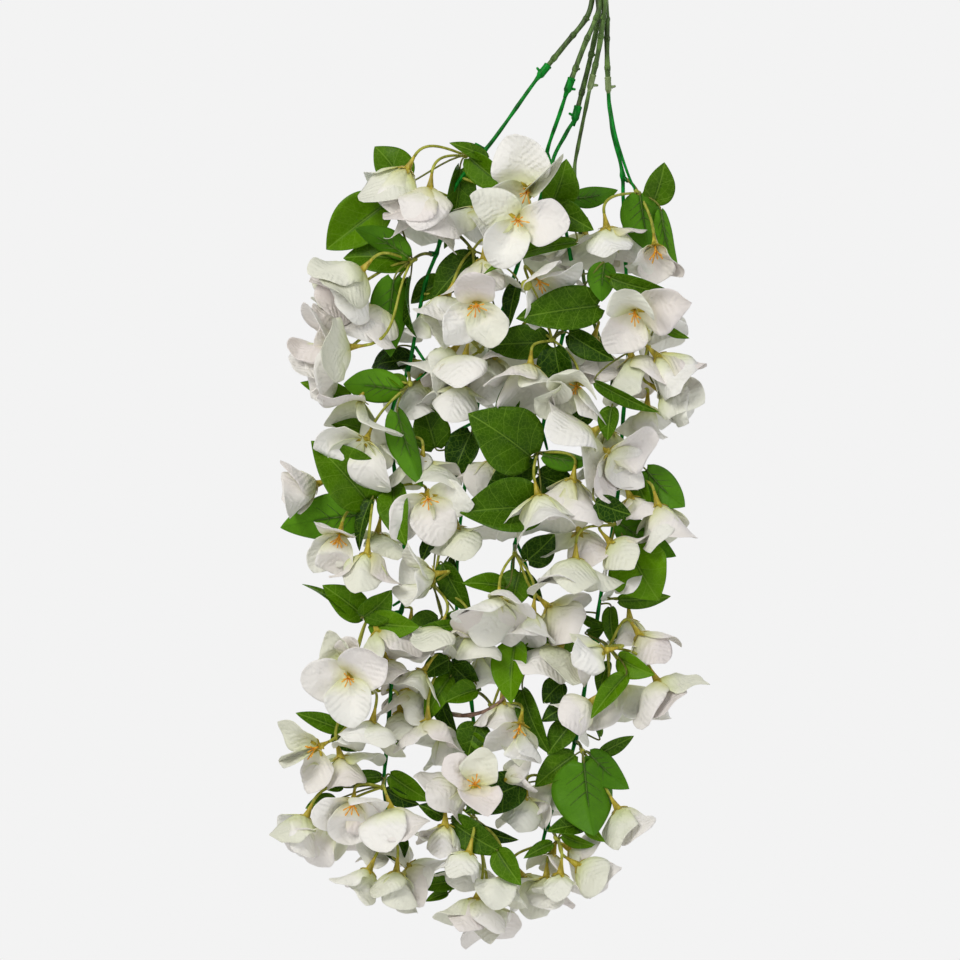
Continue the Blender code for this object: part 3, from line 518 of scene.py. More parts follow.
@dataclass
class BloomMaker:
    """Makes the stalk, calyx and stamens of a bloom. Lengths are in metres."""

    calyx_length: float = 11.5 * MM
    calyx_radius: float = 3.0 * MM
    stalk_radius: float = 1.12 * MM
    stalk_points: int = 15
    stalk_flare: float = 0.18
    tooth_length: float = 5.4 * MM
    tooth_base: float = 0.8 * MM
    teeth: int = 5
    stamens: int = 8
    stamen_length: float = 12.5 * MM
    stamen_radii: tuple[float, ...] = (0.85, 0.7, 0.55, 0.46, 0.42, 0.42, 0.6, 0.7, 0.36)

    def neck(self, bloom: Bloom) -> np.ndarray:
        """Where a bloom's stalk meets its calyx."""
        return bloom.throat - bloom.axis * self.calyx_length

    def add_stalk(
        self, buffer: MeshBuffer, bloom: Bloom, knuckle: np.ndarray, draw: np.random.Generator
    ) -> None:
        """Adds the stalk: a cubic arc that leaves the knuckle up and outward and comes down the bloom's axis.

        Args:
            buffer: where it goes.
            bloom: the bloom at its end.
            knuckle: where the whorl's stalks meet.
            draw: the random numbers of this bloom.
        """
        neck = self.neck(bloom)
        chord = neck - knuckle
        reach = float(np.linalg.norm(chord))
        lift = unit(chord / reach + UP * draw.uniform(0.1, 0.42))
        bend, arrival = knuckle + lift * 0.4 * reach, neck - bloom.axis * 0.38 * reach
        path = bezier(knuckle, bend, arrival, neck, self.stalk_points)
        radii = self.stalk_radius * (1.0 + self.stalk_flare * np.linspace(0.0, 1.0, self.stalk_points) ** 3)
        buffer.add_tube(path, radii, 7, own=draw.uniform())

    def add_calyx(self, buffer: MeshBuffer, bloom: Bloom, draw: np.random.Generator) -> None:
        """Adds the calyx: a ribbed cone that ends in pointed teeth, which lie on the backs of the petals.

        The teeth are a power of a cosine about the axis, carried out along the petals' slope and back inside.

        Args:
            buffer: where it goes.
            bloom: the bloom that it holds.
            draw: the random numbers of this bloom.
        """
        turn = ring_angles(4 * self.teeth) + draw.uniform(0.0, 2.0)
        ribs = np.cos(self.teeth * turn)
        cone = np.linspace(0.0, 1.0, 8)[:, None]
        radius = self.stalk_radius + (self.calyx_radius - self.stalk_radius) * cone**1.4
        radius = radius * (1.0 + 0.10 * ribs * cone)
        height = (cone - 1.0) * self.calyx_length - 0.5 * MM + 0.0 * turn
        length = self.tooth_base + self.tooth_length * (0.5 + 0.5 * ribs) ** 1.5
        steps = np.linspace(0.0, 1.0, 6)[1:, None]
        lean = slope_of(steps * length, math.radians(bloom.spread) * 1.05)
        tooth_radius = radius[-1] + np.cumsum(np.sin(lean) * length / len(steps), axis=0)
        tooth_height = height[-1] + np.cumsum(np.cos(lean) * length / len(steps), axis=0)
        radius = np.vstack([radius, tooth_radius, tooth_radius[::-1] - 0.3 * MM])
        height = np.vstack([height, tooth_height, tooth_height[::-1] + 0.45 * MM])
        rings = bloom.throat + turned(radius, turn, height) @ bloom.frame
        buffer.add_rings(rings[:, ::-1], rings[0].mean(axis=0), bloom.throat, finish=1, own=draw.uniform())

    def add_stamens(self, buffer: MeshBuffer, bloom: Bloom, draw: np.random.Generator) -> None:
        """Adds the filaments: thin tubes that fan out of the throat and end in a small knob.

        Args:
            buffer: where they go.
            bloom: the bloom that they stand in.
            draw: the random numbers of this bloom.
        """
        start = bloom.throat + bloom.axis * 0.5 * MM
        for number in range(self.stamens):
            turn = TURN * (number + draw.uniform(-0.2, 0.2)) / self.stamens
            fan = draw.uniform(0.15, 0.75)
            length = self.stamen_length * draw.uniform(0.8, 1.15)
            way = np.array([math.sin(fan) * math.cos(turn), math.sin(fan) * math.sin(turn), math.cos(fan)])
            way = way @ bloom.frame
            bend, end = start + bloom.axis * 0.45 * length, start + way * length
            path = bezier(start, bend, start + way * 0.8 * length, end, len(self.stamen_radii))
            buffer.add_tube(path, np.array(self.stamen_radii) * MM, 5, own=draw.uniform())


# ---------------------------------------------------------------- leaves
@dataclass(frozen=True)
class Leaf:
    """One leaf: the ends of its blade, its width, its turn about its length, and its tone, which is partly
    its print and partly painted light and shade.

    With no roll the upper side faces the front, with 180 the under side does, and with 90 an edge does.
    """

    base: Point
    tip: Point
    width: float
    roll: float
    tone: PrintAndLightTone

    @property
    def length(self) -> float:
        """The length of the blade in metres."""
        return float(np.linalg.norm(place(*self.tip) - place(*self.base)))


@dataclass(frozen=True)
class LeafForm:
    """How a blade is bent: arch, curl and lobe are shares of its length, and wave is in metres."""

    arch: float
    curl: float
    fold: float
    wave: float
    waves: float
    phase: float
    lobe: float


@dataclass
class LeafMaker:
    """Makes blades, moulded ribs and petioles. Lengths are in metres."""

    rows: int = 22
    columns: int = 13
    thickness: float = 0.3 * MM
    widest: float = 0.352
    broad_leaf: float = 24.0
    rib_share: float = 0.58
    rib_radius: float = 0.75 * MM
    rib_points: int = 12
    rib_depth: float = 0.35 * MM
    side_ribs: int = 3
    side_rib_start: float = 0.1
    side_rib_pitch: float = 0.14
    side_rib_rise: float = 0.15
    half_share: float = 0.53
    petiole_radius: float = 0.8 * MM

    def outline(self, share: np.ndarray | float) -> np.ndarray:
        """Half-width against share of length, 1 at the widest: full near the base, drawn out to a point."""
        full, peak = ((s + 0.012) ** 0.5 * (1.0 - s) ** 0.92 for s in (share, self.widest))
        return full / peak + 0.008

    def surface(self, leaf: Leaf, form: LeafForm, s: np.ndarray, t: np.ndarray) -> np.ndarray:
        """Points of the blade at shares of its length and of its half-width.

        The middle line is an arch over the chord from base to tip. The halves fold up from it, the edges
        wave, and beside the base they reach back in two lobes.

        Args:
            leaf: the leaf.
            form: how its blade is bent.
            s: shares of the length.
            t: shares of the half-width, from -1 to 1.

        Returns:
            An array of points of the broadcast shape of s and t.
        """
        base, length = place(*leaf.base), leaf.length
        along = (place(*leaf.tip) - base) / length
        face = unit(-AWAY - along * (-AWAY @ along))
        roll = math.radians(leaf.roll)
        face = face * math.cos(roll) + np.cross(along, face) * math.sin(roll)
        across = np.cross(along, face)
        half = self.half_share * leaf.width * MM * self.outline(s)
        forward = length * (s - form.lobe * np.abs(t) ** 1.6 * np.clip(1.0 - 2.2 * s, 0.0, 1.0) ** 1.5)
        rise = form.arch * length * 4 * s * (1.0 - s) - form.curl * length * s**3
        rise = rise + np.sin(form.fold) * half * np.abs(t) ** 1.15
        wave = np.sin(TURN * form.waves * s + form.phase * np.sign(t))
        rise = rise + form.wave * wave * np.abs(t) ** 2 * np.sin(math.pi * np.clip(s, 0.0, 1.0)) ** 0.7
        lateral = np.cos(form.fold) * half * t
        parts = ((forward, along), (lateral, across), (rise, face))
        return base + sum(part[..., None] * way for part, way in parts)

    def form_of(self, leaf: Leaf, draw: np.random.Generator) -> LeafForm:
        """Draws how a leaf's blade is bent.

        Args:
            leaf: the leaf.
            draw: the random numbers of this leaf.

        Returns:
            The numbers drawn.
        """
        return LeafForm(
            arch=draw.uniform(0.02, 0.12),
            curl=draw.uniform(-0.05, 0.15),
            fold=draw.uniform(0.14, 0.58),
            wave=draw.uniform(0.2, 0.9) * MM * leaf.width / 30.0,
            waves=draw.uniform(1.2, 2.4),
            phase=draw.uniform(0.6, 2.6),
            lobe=0.07 if leaf.width > self.broad_leaf else 0.03,
        )

    def add_leaf(
        self, blades: MeshBuffer, ribs: MeshBuffer, leaf: Leaf, foot: np.ndarray, draw: np.random.Generator
    ) -> None:
        """Adds a blade, the moulded rib on its under side with its side ribs, and its petiole.

        Args:
            blades: where the blade goes.
            ribs: where the ribs and the petiole go.
            leaf: the leaf.
            foot: where the petiole leaves the twig.
            draw: the random numbers of this leaf.
        """
        form = self.form_of(leaf, draw)
        s = np.linspace(0.0, 1.0, self.rows)[:, None]
        t = np.linspace(-1.0, 1.0, self.columns)[None, :]
        blade = on_grid(0.5 * leaf.width * MM * self.outline(s) * t, s * leaf.length, draw.uniform())
        # The leaf's tone with a little random spread; the tone is partly print and partly painted light and
        # shade.
        share = on_grid(np.clip(leaf.tone.value + draw.uniform(-0.1, 0.1), 0.0, 1.0), s + 0.0 * t)
        blades.add_shell(self.surface(leaf, form, s, t), self.thickness, blade, share, 1)

        steps = np.linspace(0.0, 1.0, self.rib_points)[:, None]
        strip = self.surface(leaf, form, steps, np.array([[-0.1, 0.0, 0.1]]))
        down = -normals_of(strip)[:, 1]
        path_share = np.linspace(0.0, self.rib_share, self.rib_points)
        spine = self.surface(leaf, form, path_share[:, None], np.zeros((1, 1)))[:, 0] + down * self.rib_depth
        ribs.add_tube(spine, self.rib_radius * (1.0 - 0.6 * path_share / self.rib_share), 6)
        grow = np.linspace(0.0, 1.0, 7)
        for number in range(self.side_ribs):
            for side in (-1.0, 1.0):
                line_share = self.side_rib_start + self.side_rib_pitch * number + self.side_rib_rise * grow
                line_side = side * (0.03 + 0.55 * grow)
                line = self.surface(leaf, form, line_share, line_side) + down[3] * 0.2 * MM
                ribs.add_tube(line, self.rib_radius * 0.62 * (1.0 - 0.65 * grow), 5)
        base, chord = spine[0], spine[0] - foot
        reach = float(np.linalg.norm(chord))
        lead = unit(base - spine[2]) * min(0.4 * reach, 8.0 * MM)
        path = bezier(foot, foot + chord * 0.35 + UP * 0.12 * reach, base + lead, base, 10)
        ribs.add_tube(path, self.petiole_radius * np.linspace(1.05, 0.9, 10), 6, finish=1)


# ---------------------------------------------------------------- finishes
def linear(colour: str) -> tuple[float, float, float, float]:
    """An sRGB hex value such as #4F8A35 as a linear colour with alpha."""
    parts = [int(colour[start:start + 2], 16) / 255 for start in (1, 3, 5)]
    return (*(part / 12.92 if part <= 0.04045 else ((part + 0.055) / 1.055) ** 2.4 for part in parts), 1.0)


class Graph:
    """A node tree, with short calls for the nodes that finishes, floor and world share."""

    def __init__(self, tree: bpy.types.NodeTree) -> None:
        """Keeps the tree."""
        self.tree = tree

    def feed(self, socket: Socket, value: Feed) -> None:
        """Links an output to an input, or sets the input to a constant.

        Args:
            socket: the input.
            value: the output or the constant.
        """
        if isinstance(value, Socket):
            self.tree.links.new(value, socket)
        else:
            socket.default_value = value

    def node(self, kind: str, inputs: dict[str | int, Feed], **settings: object) -> bpy.types.Node:
        """Adds a node.

        Args:
            kind: the node's type name, without its ShaderNode prefix.
            inputs: what feeds each input, by the input's name or number.
            settings: the node's own properties.

        Returns:
            The node.
        """
        node = self.tree.nodes.new("ShaderNode" + kind)
        for name, value in settings.items():
            setattr(node, name, value)
        for key, value in inputs.items():
            self.feed(node.inputs[key], value)
        return node

    def math(self, operation: str, *terms: Feed, **settings: object) -> Socket:
        """The result of an operation on one to three terms."""
        return self.node("Math", dict(enumerate(terms)), operation=operation, **settings).outputs[0]

    def mix(self, share: Feed, first: Feed, second: Feed, blend: str = "MIX") -> Socket:
        """A blend of two colours, with the share of the second."""
        inputs = {0: share, 6: first, 7: second}
        return self.node("Mix", inputs, data_type="RGBA", blend_type=blend).outputs[2]

    def noise(self, places: Feed, pitch: float, detail: float, **inputs: Feed) -> Socket:
        """Noise whose patches are about a pitch apart, in metres."""
        inputs = {"Vector": places, "Scale": 1 / pitch, "Detail": detail, **inputs}
        return self.node("TexNoise", inputs).outputs["Fac"]

    def cells(self, places: Feed, pitch: float, feature: str) -> Socket:
        """The distance that a Voronoi feature gives, for cells about a pitch apart, in metres."""
        inputs = {"Vector": places, "Scale": 1 / pitch}
        return self.node("TexVoronoi", inputs, feature=feature).outputs["Distance"]

    def span(
        self, value: Feed, low: float, high: float, start: float, end: float, smooth: bool = False
    ) -> Socket:
        """A value that goes from start to end while another goes from low to high.

        Args:
            value: the other value.
            low: where the change starts.
            high: where it ends.
            start: the result up to low.
            end: the result from high on.
            smooth: whether the change starts and ends gently.

        Returns:
            The output that holds the result.
        """
        inputs = {0: value, 1: low, 2: high, 3: start, 4: end}
        kind = "SMOOTHSTEP" if smooth else "LINEAR"
        return self.node("MapRange", inputs, interpolation_type=kind).outputs[0]

    def ramp(self, value: Feed, *stops: Stop) -> Socket:
        """A colour that follows a value through stops.

        Args:
            value: the output that it follows.
            stops: each stop's value and colour, in rising order.

        Returns:
            The output that holds the colour.
        """
        node = self.node("ValToRGB", {0: value})
        elements = node.color_ramp.elements
        for position, _ in stops[1:-1]:
            elements.new(position)
        for element, (position, colour) in zip(elements, stops):
            element.position, element.color = position, linear(colour)
        return node.outputs[0]

    def layer(self, name: str) -> tuple[Socket, bpy.types.bpy_prop_collection]:
        """One of the mesh's layers, as a vector and as its three numbers."""
        vector = self.node("Attribute", {}, attribute_name=name).outputs["Vector"]
        return vector, self.node("SeparateXYZ", {0: vector}).outputs

    def plain_ray(self) -> Socket:
        """One for rays from the camera, from gloss or through glass, and nought for those that light."""
        path = self.node("LightPath", {}).outputs
        seen = self.math("MAXIMUM", path["Is Camera Ray"], path["Is Glossy Ray"])
        return self.math("MAXIMUM", seen, path["Is Transmission Ray"])


class Surface(Graph):
    """The graph of a new material, with its Principled BSDF."""

    def __init__(self, name: str) -> None:
        """Makes the material, with only its Principled BSDF and output.

        Args:
            name: the material's name.
        """
        self.material = bpy.data.materials.new(name)
        self.material.use_nodes = True
        super().__init__(self.material.node_tree)
        self.shader = self.tree.nodes["Principled BSDF"]

    def finished(
        self, colour: Feed, roughness: Feed, specular: float, height: Feed, strength: float, depth: float,
        invert: bool = False,
    ) -> Material:
        """Feeds the shader.

        Args:
            colour: the base colour.
            roughness: the roughness.
            specular: the specular level.
            height: what the bump follows.
            strength: the bump's strength.
            depth: the bump's distance, in metres.
            invert: whether what is high is pressed in.

        Returns:
            The material.
        """
        bump = self.node("Bump", {"Height": height, "Strength": strength, "Distance": depth}, invert=invert)
        for name, value in (("Base Color", colour), ("Roughness", roughness), ("Normal", bump.outputs[0])):
            self.feed(self.shader.inputs[name], value)
        self.shader.inputs["Specular IOR Level"].default_value = specular
        return self.material


@dataclass(frozen=True)
class PetalCloth:
    """Heat-pressed polyester cloth: a matt creased white weave, dyed yellow-green at the throat.

    Each petal has its own tint, from a greenish to a rosy grey white.
    """

    dye: tuple[Stop, ...] = ((0.0, "#D0CD74"), (0.1, "#DDE2AC"), (0.26, "#EEF1D8"), (0.48, "#F8F7F3"))
    tint: tuple[Stop, ...] = ((0.0, "#EBEDDD"), (0.45, "#FDFDFC"), (1.0, "#F1EAEA"))
    crease_pitch: float = 13.0 * MM
    drift_pitch: float = 9.0 * MM
    patch_pitch: float = 16.0 * MM
    vein_pitch: float = 5.4 * MM
    pucker: float = 2.4 * MM
    weave: float = 0.7 * MM
    roughness: float = 0.7
    specular: float = 0.25
    bump: float = 0.55
    bump_depth: float = 0.55 * MM

    def material(self) -> Material:
        """A dye ramp along the petal, veins that leave the middle line, puckers, creases and a weave."""
        surface = Surface("pressed_petal_cloth")
        (places, blade), (_, share) = surface.layer("blade"), surface.layer("share")
        drift = surface.math("ADD", surface.noise(places, self.drift_pitch, 3.0), -0.5)
        place_in_dye = surface.math("MULTIPLY_ADD", drift, 0.22, share["Y"])
        place_in_dye = surface.math("MULTIPLY_ADD", share["Z"], 0.1, place_in_dye)
        dye, tint = surface.ramp(place_in_dye, *self.dye), surface.ramp(blade["Z"], *self.tint)
        colour = surface.mix(1.0, dye, tint, "MULTIPLY")
        slant = surface.math("MULTIPLY_ADD", surface.math("ABSOLUTE", blade["X"]), -0.8, blade["Y"])
        line = surface.math("MULTIPLY", slant, TURN / self.vein_pitch)
        veins = surface.math("SINE", surface.math("MULTIPLY_ADD", drift, 5.0, line))
        patch = surface.span(surface.noise(places, self.patch_pitch, 1.0), 0.47, 0.6, 0.2, 2.0)
        height = surface.math("MULTIPLY", veins, surface.span(patch, 0.2, 1.2, 0.12, 0.6))
        puckers = surface.cells(places, self.pucker, "SMOOTH_F1")
        height = surface.math("MULTIPLY_ADD", puckers, patch, height)
        crumple = surface.noise(places, self.crease_pitch, 1.5, Distortion=0.5)
        crumple = surface.math("ABSOLUTE", surface.math("ADD", crumple, -0.5))
        height = surface.math("ADD", height, surface.span(crumple, 0.0, 0.13, 1.15, 0.0))
        height = surface.math("MULTIPLY_ADD", surface.noise(places, self.weave, 1.0), 0.4, height)
        return surface.finished(colour, self.roughness, self.specular, height, self.bump, self.bump_depth)


@dataclass(frozen=True)
class LeafCloth:
    """Printed polyester cloth: a satin green with a paler printed net of veins. The under side is plainer."""

    name: str
    dark: str
    bright: str
    vein: str
    vein_strength: float
    roughness: float
    drift_pitch: float = 12.0 * MM
    side_vein_pitch: float = 7.0 * MM
    net: float = 3.4 * MM
    weave: float = 0.8 * MM
    specular: float = 0.09
    bump: float = 0.35
    bump_depth: float = 0.35 * MM

    def veins(self, surface: Surface, drift: Feed) -> Socket:
        """Lines of the middle vein, of side veins that curve away from it, and of the net between them.

        Args:
            surface: the graph of the material.
            drift: noise about nought that makes the side veins wander.

        Returns:
            The output that is 1 on a line and 0 between lines.
        """
        places, blade = surface.layer("blade")
        away = surface.math("ABSOLUTE", blade["X"])
        lean = surface.math("MULTIPLY_ADD", away, 16.0, -0.95)
        curve = surface.math("MULTIPLY_ADD", away, lean, blade["Y"])
        curve = surface.math("MULTIPLY_ADD", drift, 3 * MM, curve)
        nearest = surface.math("PINGPONG", curve, self.side_vein_pitch)
        middle = surface.span(away, 0.25 * MM, 0.75 * MM, 1.0, 0.0, smooth=True)
        side = surface.span(nearest, 0.08 * MM, 0.42 * MM, 0.85, 0.0, smooth=True)
        edges = surface.cells(places, self.net, "DISTANCE_TO_EDGE")
        net = surface.span(edges, 0.01, 0.09, 0.42, 0.0, smooth=True)
        return surface.math("MAXIMUM", surface.math("MAXIMUM", middle, side), net)

    def material(self) -> Material:
        """A green that follows the leaf's tone, partly print and partly painted light and shade, with painted
        shade in the groove along the middle vein near the base, and printed veins.
        """
        surface = Surface(self.name)
        (places, blade), (_, share) = surface.layer("blade"), surface.layer("share")
        cloud = surface.noise(places, self.drift_pitch, 3.0)
        drift = surface.math("ADD", cloud, -0.5)
        # The tone that each leaf carries is partly print and partly painted light and shade; noise adds a
        # random drift to it.
        tone = surface.math("MULTIPLY_ADD", drift, 0.5, share["X"], use_clamp=True)
        green = surface.mix(tone, linear(self.dark), linear(self.bright))
        away = surface.math("ABSOLUTE", blade["X"])
        # Painted shade in the groove along the middle vein: darkest beside it, gone 2.6 mm out, and fading
        # out between 45 and 68 percent of the length.
        midrib_painted_shade = surface.span(away, 0.7 * MM, 2.6 * MM, 0.6, 0.0, smooth=True)
        midrib_painted_shade = surface.math("MULTIPLY", midrib_painted_shade, surface.span(share["Y"], 0.45, 0.68, 1.0, 0.0))
        green = surface.mix(midrib_painted_shade, green, linear(self.dark))
        veins = self.veins(surface, drift)
        colour = surface.mix(surface.math("MULTIPLY", veins, self.vein_strength), green, linear(self.vein))
        rough = surface.math("MULTIPLY_ADD", cloud, 0.22, self.roughness - 0.11)
        height = surface.math("MULTIPLY_ADD", surface.noise(places, self.weave, 1.0), 0.35, veins)
        return surface.finished(colour, rough, self.specular, height, self.bump, self.bump_depth, True)


@dataclass(frozen=True)
class MouldedPlastic:
    """Moulded polyethylene: a soft satin, streaked along the piece, with darker and paler patches."""

    name: str
    colour: str
    darker: str
    paler: str
    roughness: float = 0.42
    specular: float = 0.25
    patch: float = 3.2 * MM
    stretch: float = 0.3
    grain: float = 0.9 * MM
    bump: float = 0.4
    bump_depth: float = 0.25 * MM

    def material(self) -> Material:
        """Three shades mixed by noise on the piece's own place, and a fine grain."""
        surface = Surface(self.name)
        own = surface.node("TexCoord", {}).outputs["Object"]
        places = surface.node("Mapping", {"Vector": own, "Scale": (1.0, 1.0, self.stretch)}).outputs[0]
        cloud = surface.noise(places, self.patch, 4.0)
        colour = surface.ramp(cloud, (0.34, self.darker), (0.5, self.colour), (0.68, self.paler))
        rough = surface.math("MULTIPLY_ADD", cloud, 0.2, self.roughness - 0.1)
        fine = surface.noise(places, self.grain, 2.0)
        return surface.finished(colour, rough, self.specular, fine, self.bump, self.bump_depth)


def made(finish: PetalCloth | LeafCloth | MouldedPlastic) -> Material:
    """A field that holds this finish's material."""
    return field(default_factory=finish.material)


def plastic(name: str, colour: str, darker: str, paler: str, *shine: float) -> Material:
    """A field that holds a moulded plastic's material."""
    return made(MouldedPlastic(f"{name}_plastic", colour, darker, paler, *shine))


@dataclass
class Finishes:
    """Every finish of the spray, as Blender materials."""

    petal: Material = made(PetalCloth())
    leaf_upper: Material = made(LeafCloth("leaf_cloth_upper", "#1C3B01", "#5C8A02", "#86AC3A", 0.42, 0.38))
    leaf_under: Material = made(LeafCloth("leaf_cloth_under", "#2C5808", "#5F961A", "#386412", 0.3, 0.44))
    stem: Material = plastic("olive_stem", "#456029", "#33401D", "#64843F")
    vine: Material = plastic("emerald_vine", "#03701A", "#034C12", "#0C922B", 0.36, 0.12)
    twig: Material = plastic("olive_brown_twig", "#70752F", "#5A5A28", "#8F9444", 0.5)
    bare_twig: Material = plastic("mauve_brown_twig", "#8A6A5A", "#6E5548", "#A38A7A", 0.5)
    band: Material = plastic("pale_olive_band", "#768A56", "#5E6F42", "#97A97C")
    rib: Material = plastic("dark_olive_rib", "#48651E", "#38501A", "#5D7C2E", 0.5)
    stalk: Material = plastic("yellow_green_stalk", "#A2A53A", "#85892A", "#B7BA54", 0.44)
    calyx: Material = plastic("ochre_calyx", "#B09C30", "#8C8026", "#CDC24C")
    stamen: Material = plastic("orange_stamen", "#F2AE38", "#E99628", "#F8C95A", 0.5)


# ---------------------------------------------------------------- the layout, in millimetres
STEM_ROUTES: dict[int, list[Point]] = {
    1: [(-10, 72, -1), (-28, 95, -2), (-46, 117, -3)],
    2: [(-1, 68, -6), (-13, 97, -7), (-25, 129, -7)],
    3: [(-1, 72, 4), (-8, 108, 5), (-19, 151, 5)],
    4: [(3, 72, -4), (-1, 100, -2), (-7, 126, 0)],
    5: [(6, 72, 4), (6, 100, 4), (7, 128, 4)],
}
BORE_ANGLES = {1: 180, 2: 252, 3: 108, 4: 324, 5: 36}
OLIVE_VINES, PALE_COLLARS = (4,), (4, 5)
VINE_ROUTES: dict[int, list[Point]] = {
    1: [(-56, 130, -4), (-86, 172, -2), (-107, 196, 2), (-119, 215, 4), (-125, 240, 5), (-131, 262, 5),
        (-140, 286, 4), (-147, 322, 1), (-154, 356, -2), (-167, 390, -2), (-166, 425, 1), (-159, 475, 4),
        (-156, 530, 4), (-164, 570, 2), (-168, 620, 0), (-171, 660, 0), (-173, 690, 2), (-168, 722, 6)],
    2: [(-32, 150, -4), (-42, 180, 4), (-41, 196, 15), (-55, 240, 26), (-72, 290, 28), (-88, 340, 26),
        (-100, 395, 24), (-107, 440, 26), (-113, 490, 28), (-115, 540, 26), (-112, 580, 22), (-104, 615, 16),
        (-101, 655, 14), (-108, 704, 14)],
    3: [(-27, 166, 3), (-38, 190, -4), (-34, 215, -6), (-26, 250, -6), (-22, 286, -5), (-30, 330, -6),
        (-40, 370, -7), (-47, 408, -8), (-58, 450, -6), (-67, 493, -4), (-70, 520, -2), (-66, 550, 0),
        (-62, 582, 2)],
    4: [(-11, 145, 2), (-17, 175, 8), (-20, 195, 10), (-18, 220, 9), (-15, 250, 10), (-12, 286, 12),
        (-2, 325, 10), (10, 355, 6), (9, 374, 2), (7, 390, 0)],
    5: [(8, 145, 4), (11, 167, 2), (18, 196, 0), (19, 220, 0), (21, 270, 3), (23, 320, 5), (22, 363, 6),
        (19, 394, 8), (16, 443, 6), (11, 480, 3), (5, 515, 0), (0, 542, 0), (-4, 570, 0), (-10, 600, 0),
        (-18, 646, -1), (-28, 684, 3), (-40, 714, 3), (-46, 736, 0)],
}
SIDE_SHOOTS: dict[int, list[list[Point]]] = {
    1: [[(-93, 178, -1), (-100, 174, -3)], [(-131, 262, 5), (-137, 261, 2)],
        [(-175, 451, -4), (-162, 447, 2)], [(-148, 337, 0), (-138, 355, -6), (-147, 364, -10)],
        [(-155, 538, 4), (-166, 545, 0)]],
    2: [[(-104, 399, 24), (-118, 407, 16), (-129, 418, 10)],
        [(-42, 180, 4), (-40, 187, 0), (-37, 195, -5)]],
    3: [[(-67, 493, -4), (-58, 516, -8), (-61, 524, -10)],
        [(-46, 405, -8), (-44, 412, -9), (-42, 420, -10)],
        [(-37, 195, -5), (-42, 200, -9), (-50, 206, -12)]],
    4: [[(-20, 195, 10), (-27, 199, 6)]],
    5: [[(8, 141, 2), (12, 164, -2), (17, 182, -4), (24, 202, -5), (30, 214, -6)],
        [(-4, 570, 0), (5, 576, -4)]],
}


@dataclass(frozen=True)
class Cluster:
    """A twig with leaves and a whorl of blooms: the vine that it leaves, the drop there, and its hub."""

    number: int
    vine: int
    grip: float
    hub: Point
    blooms: tuple[Bloom, ...]
    leaves: tuple[Leaf, ...]
    bare_twigs: tuple[tuple[Point, ...], ...] = ()
    buds: tuple[Point, ...] = ()
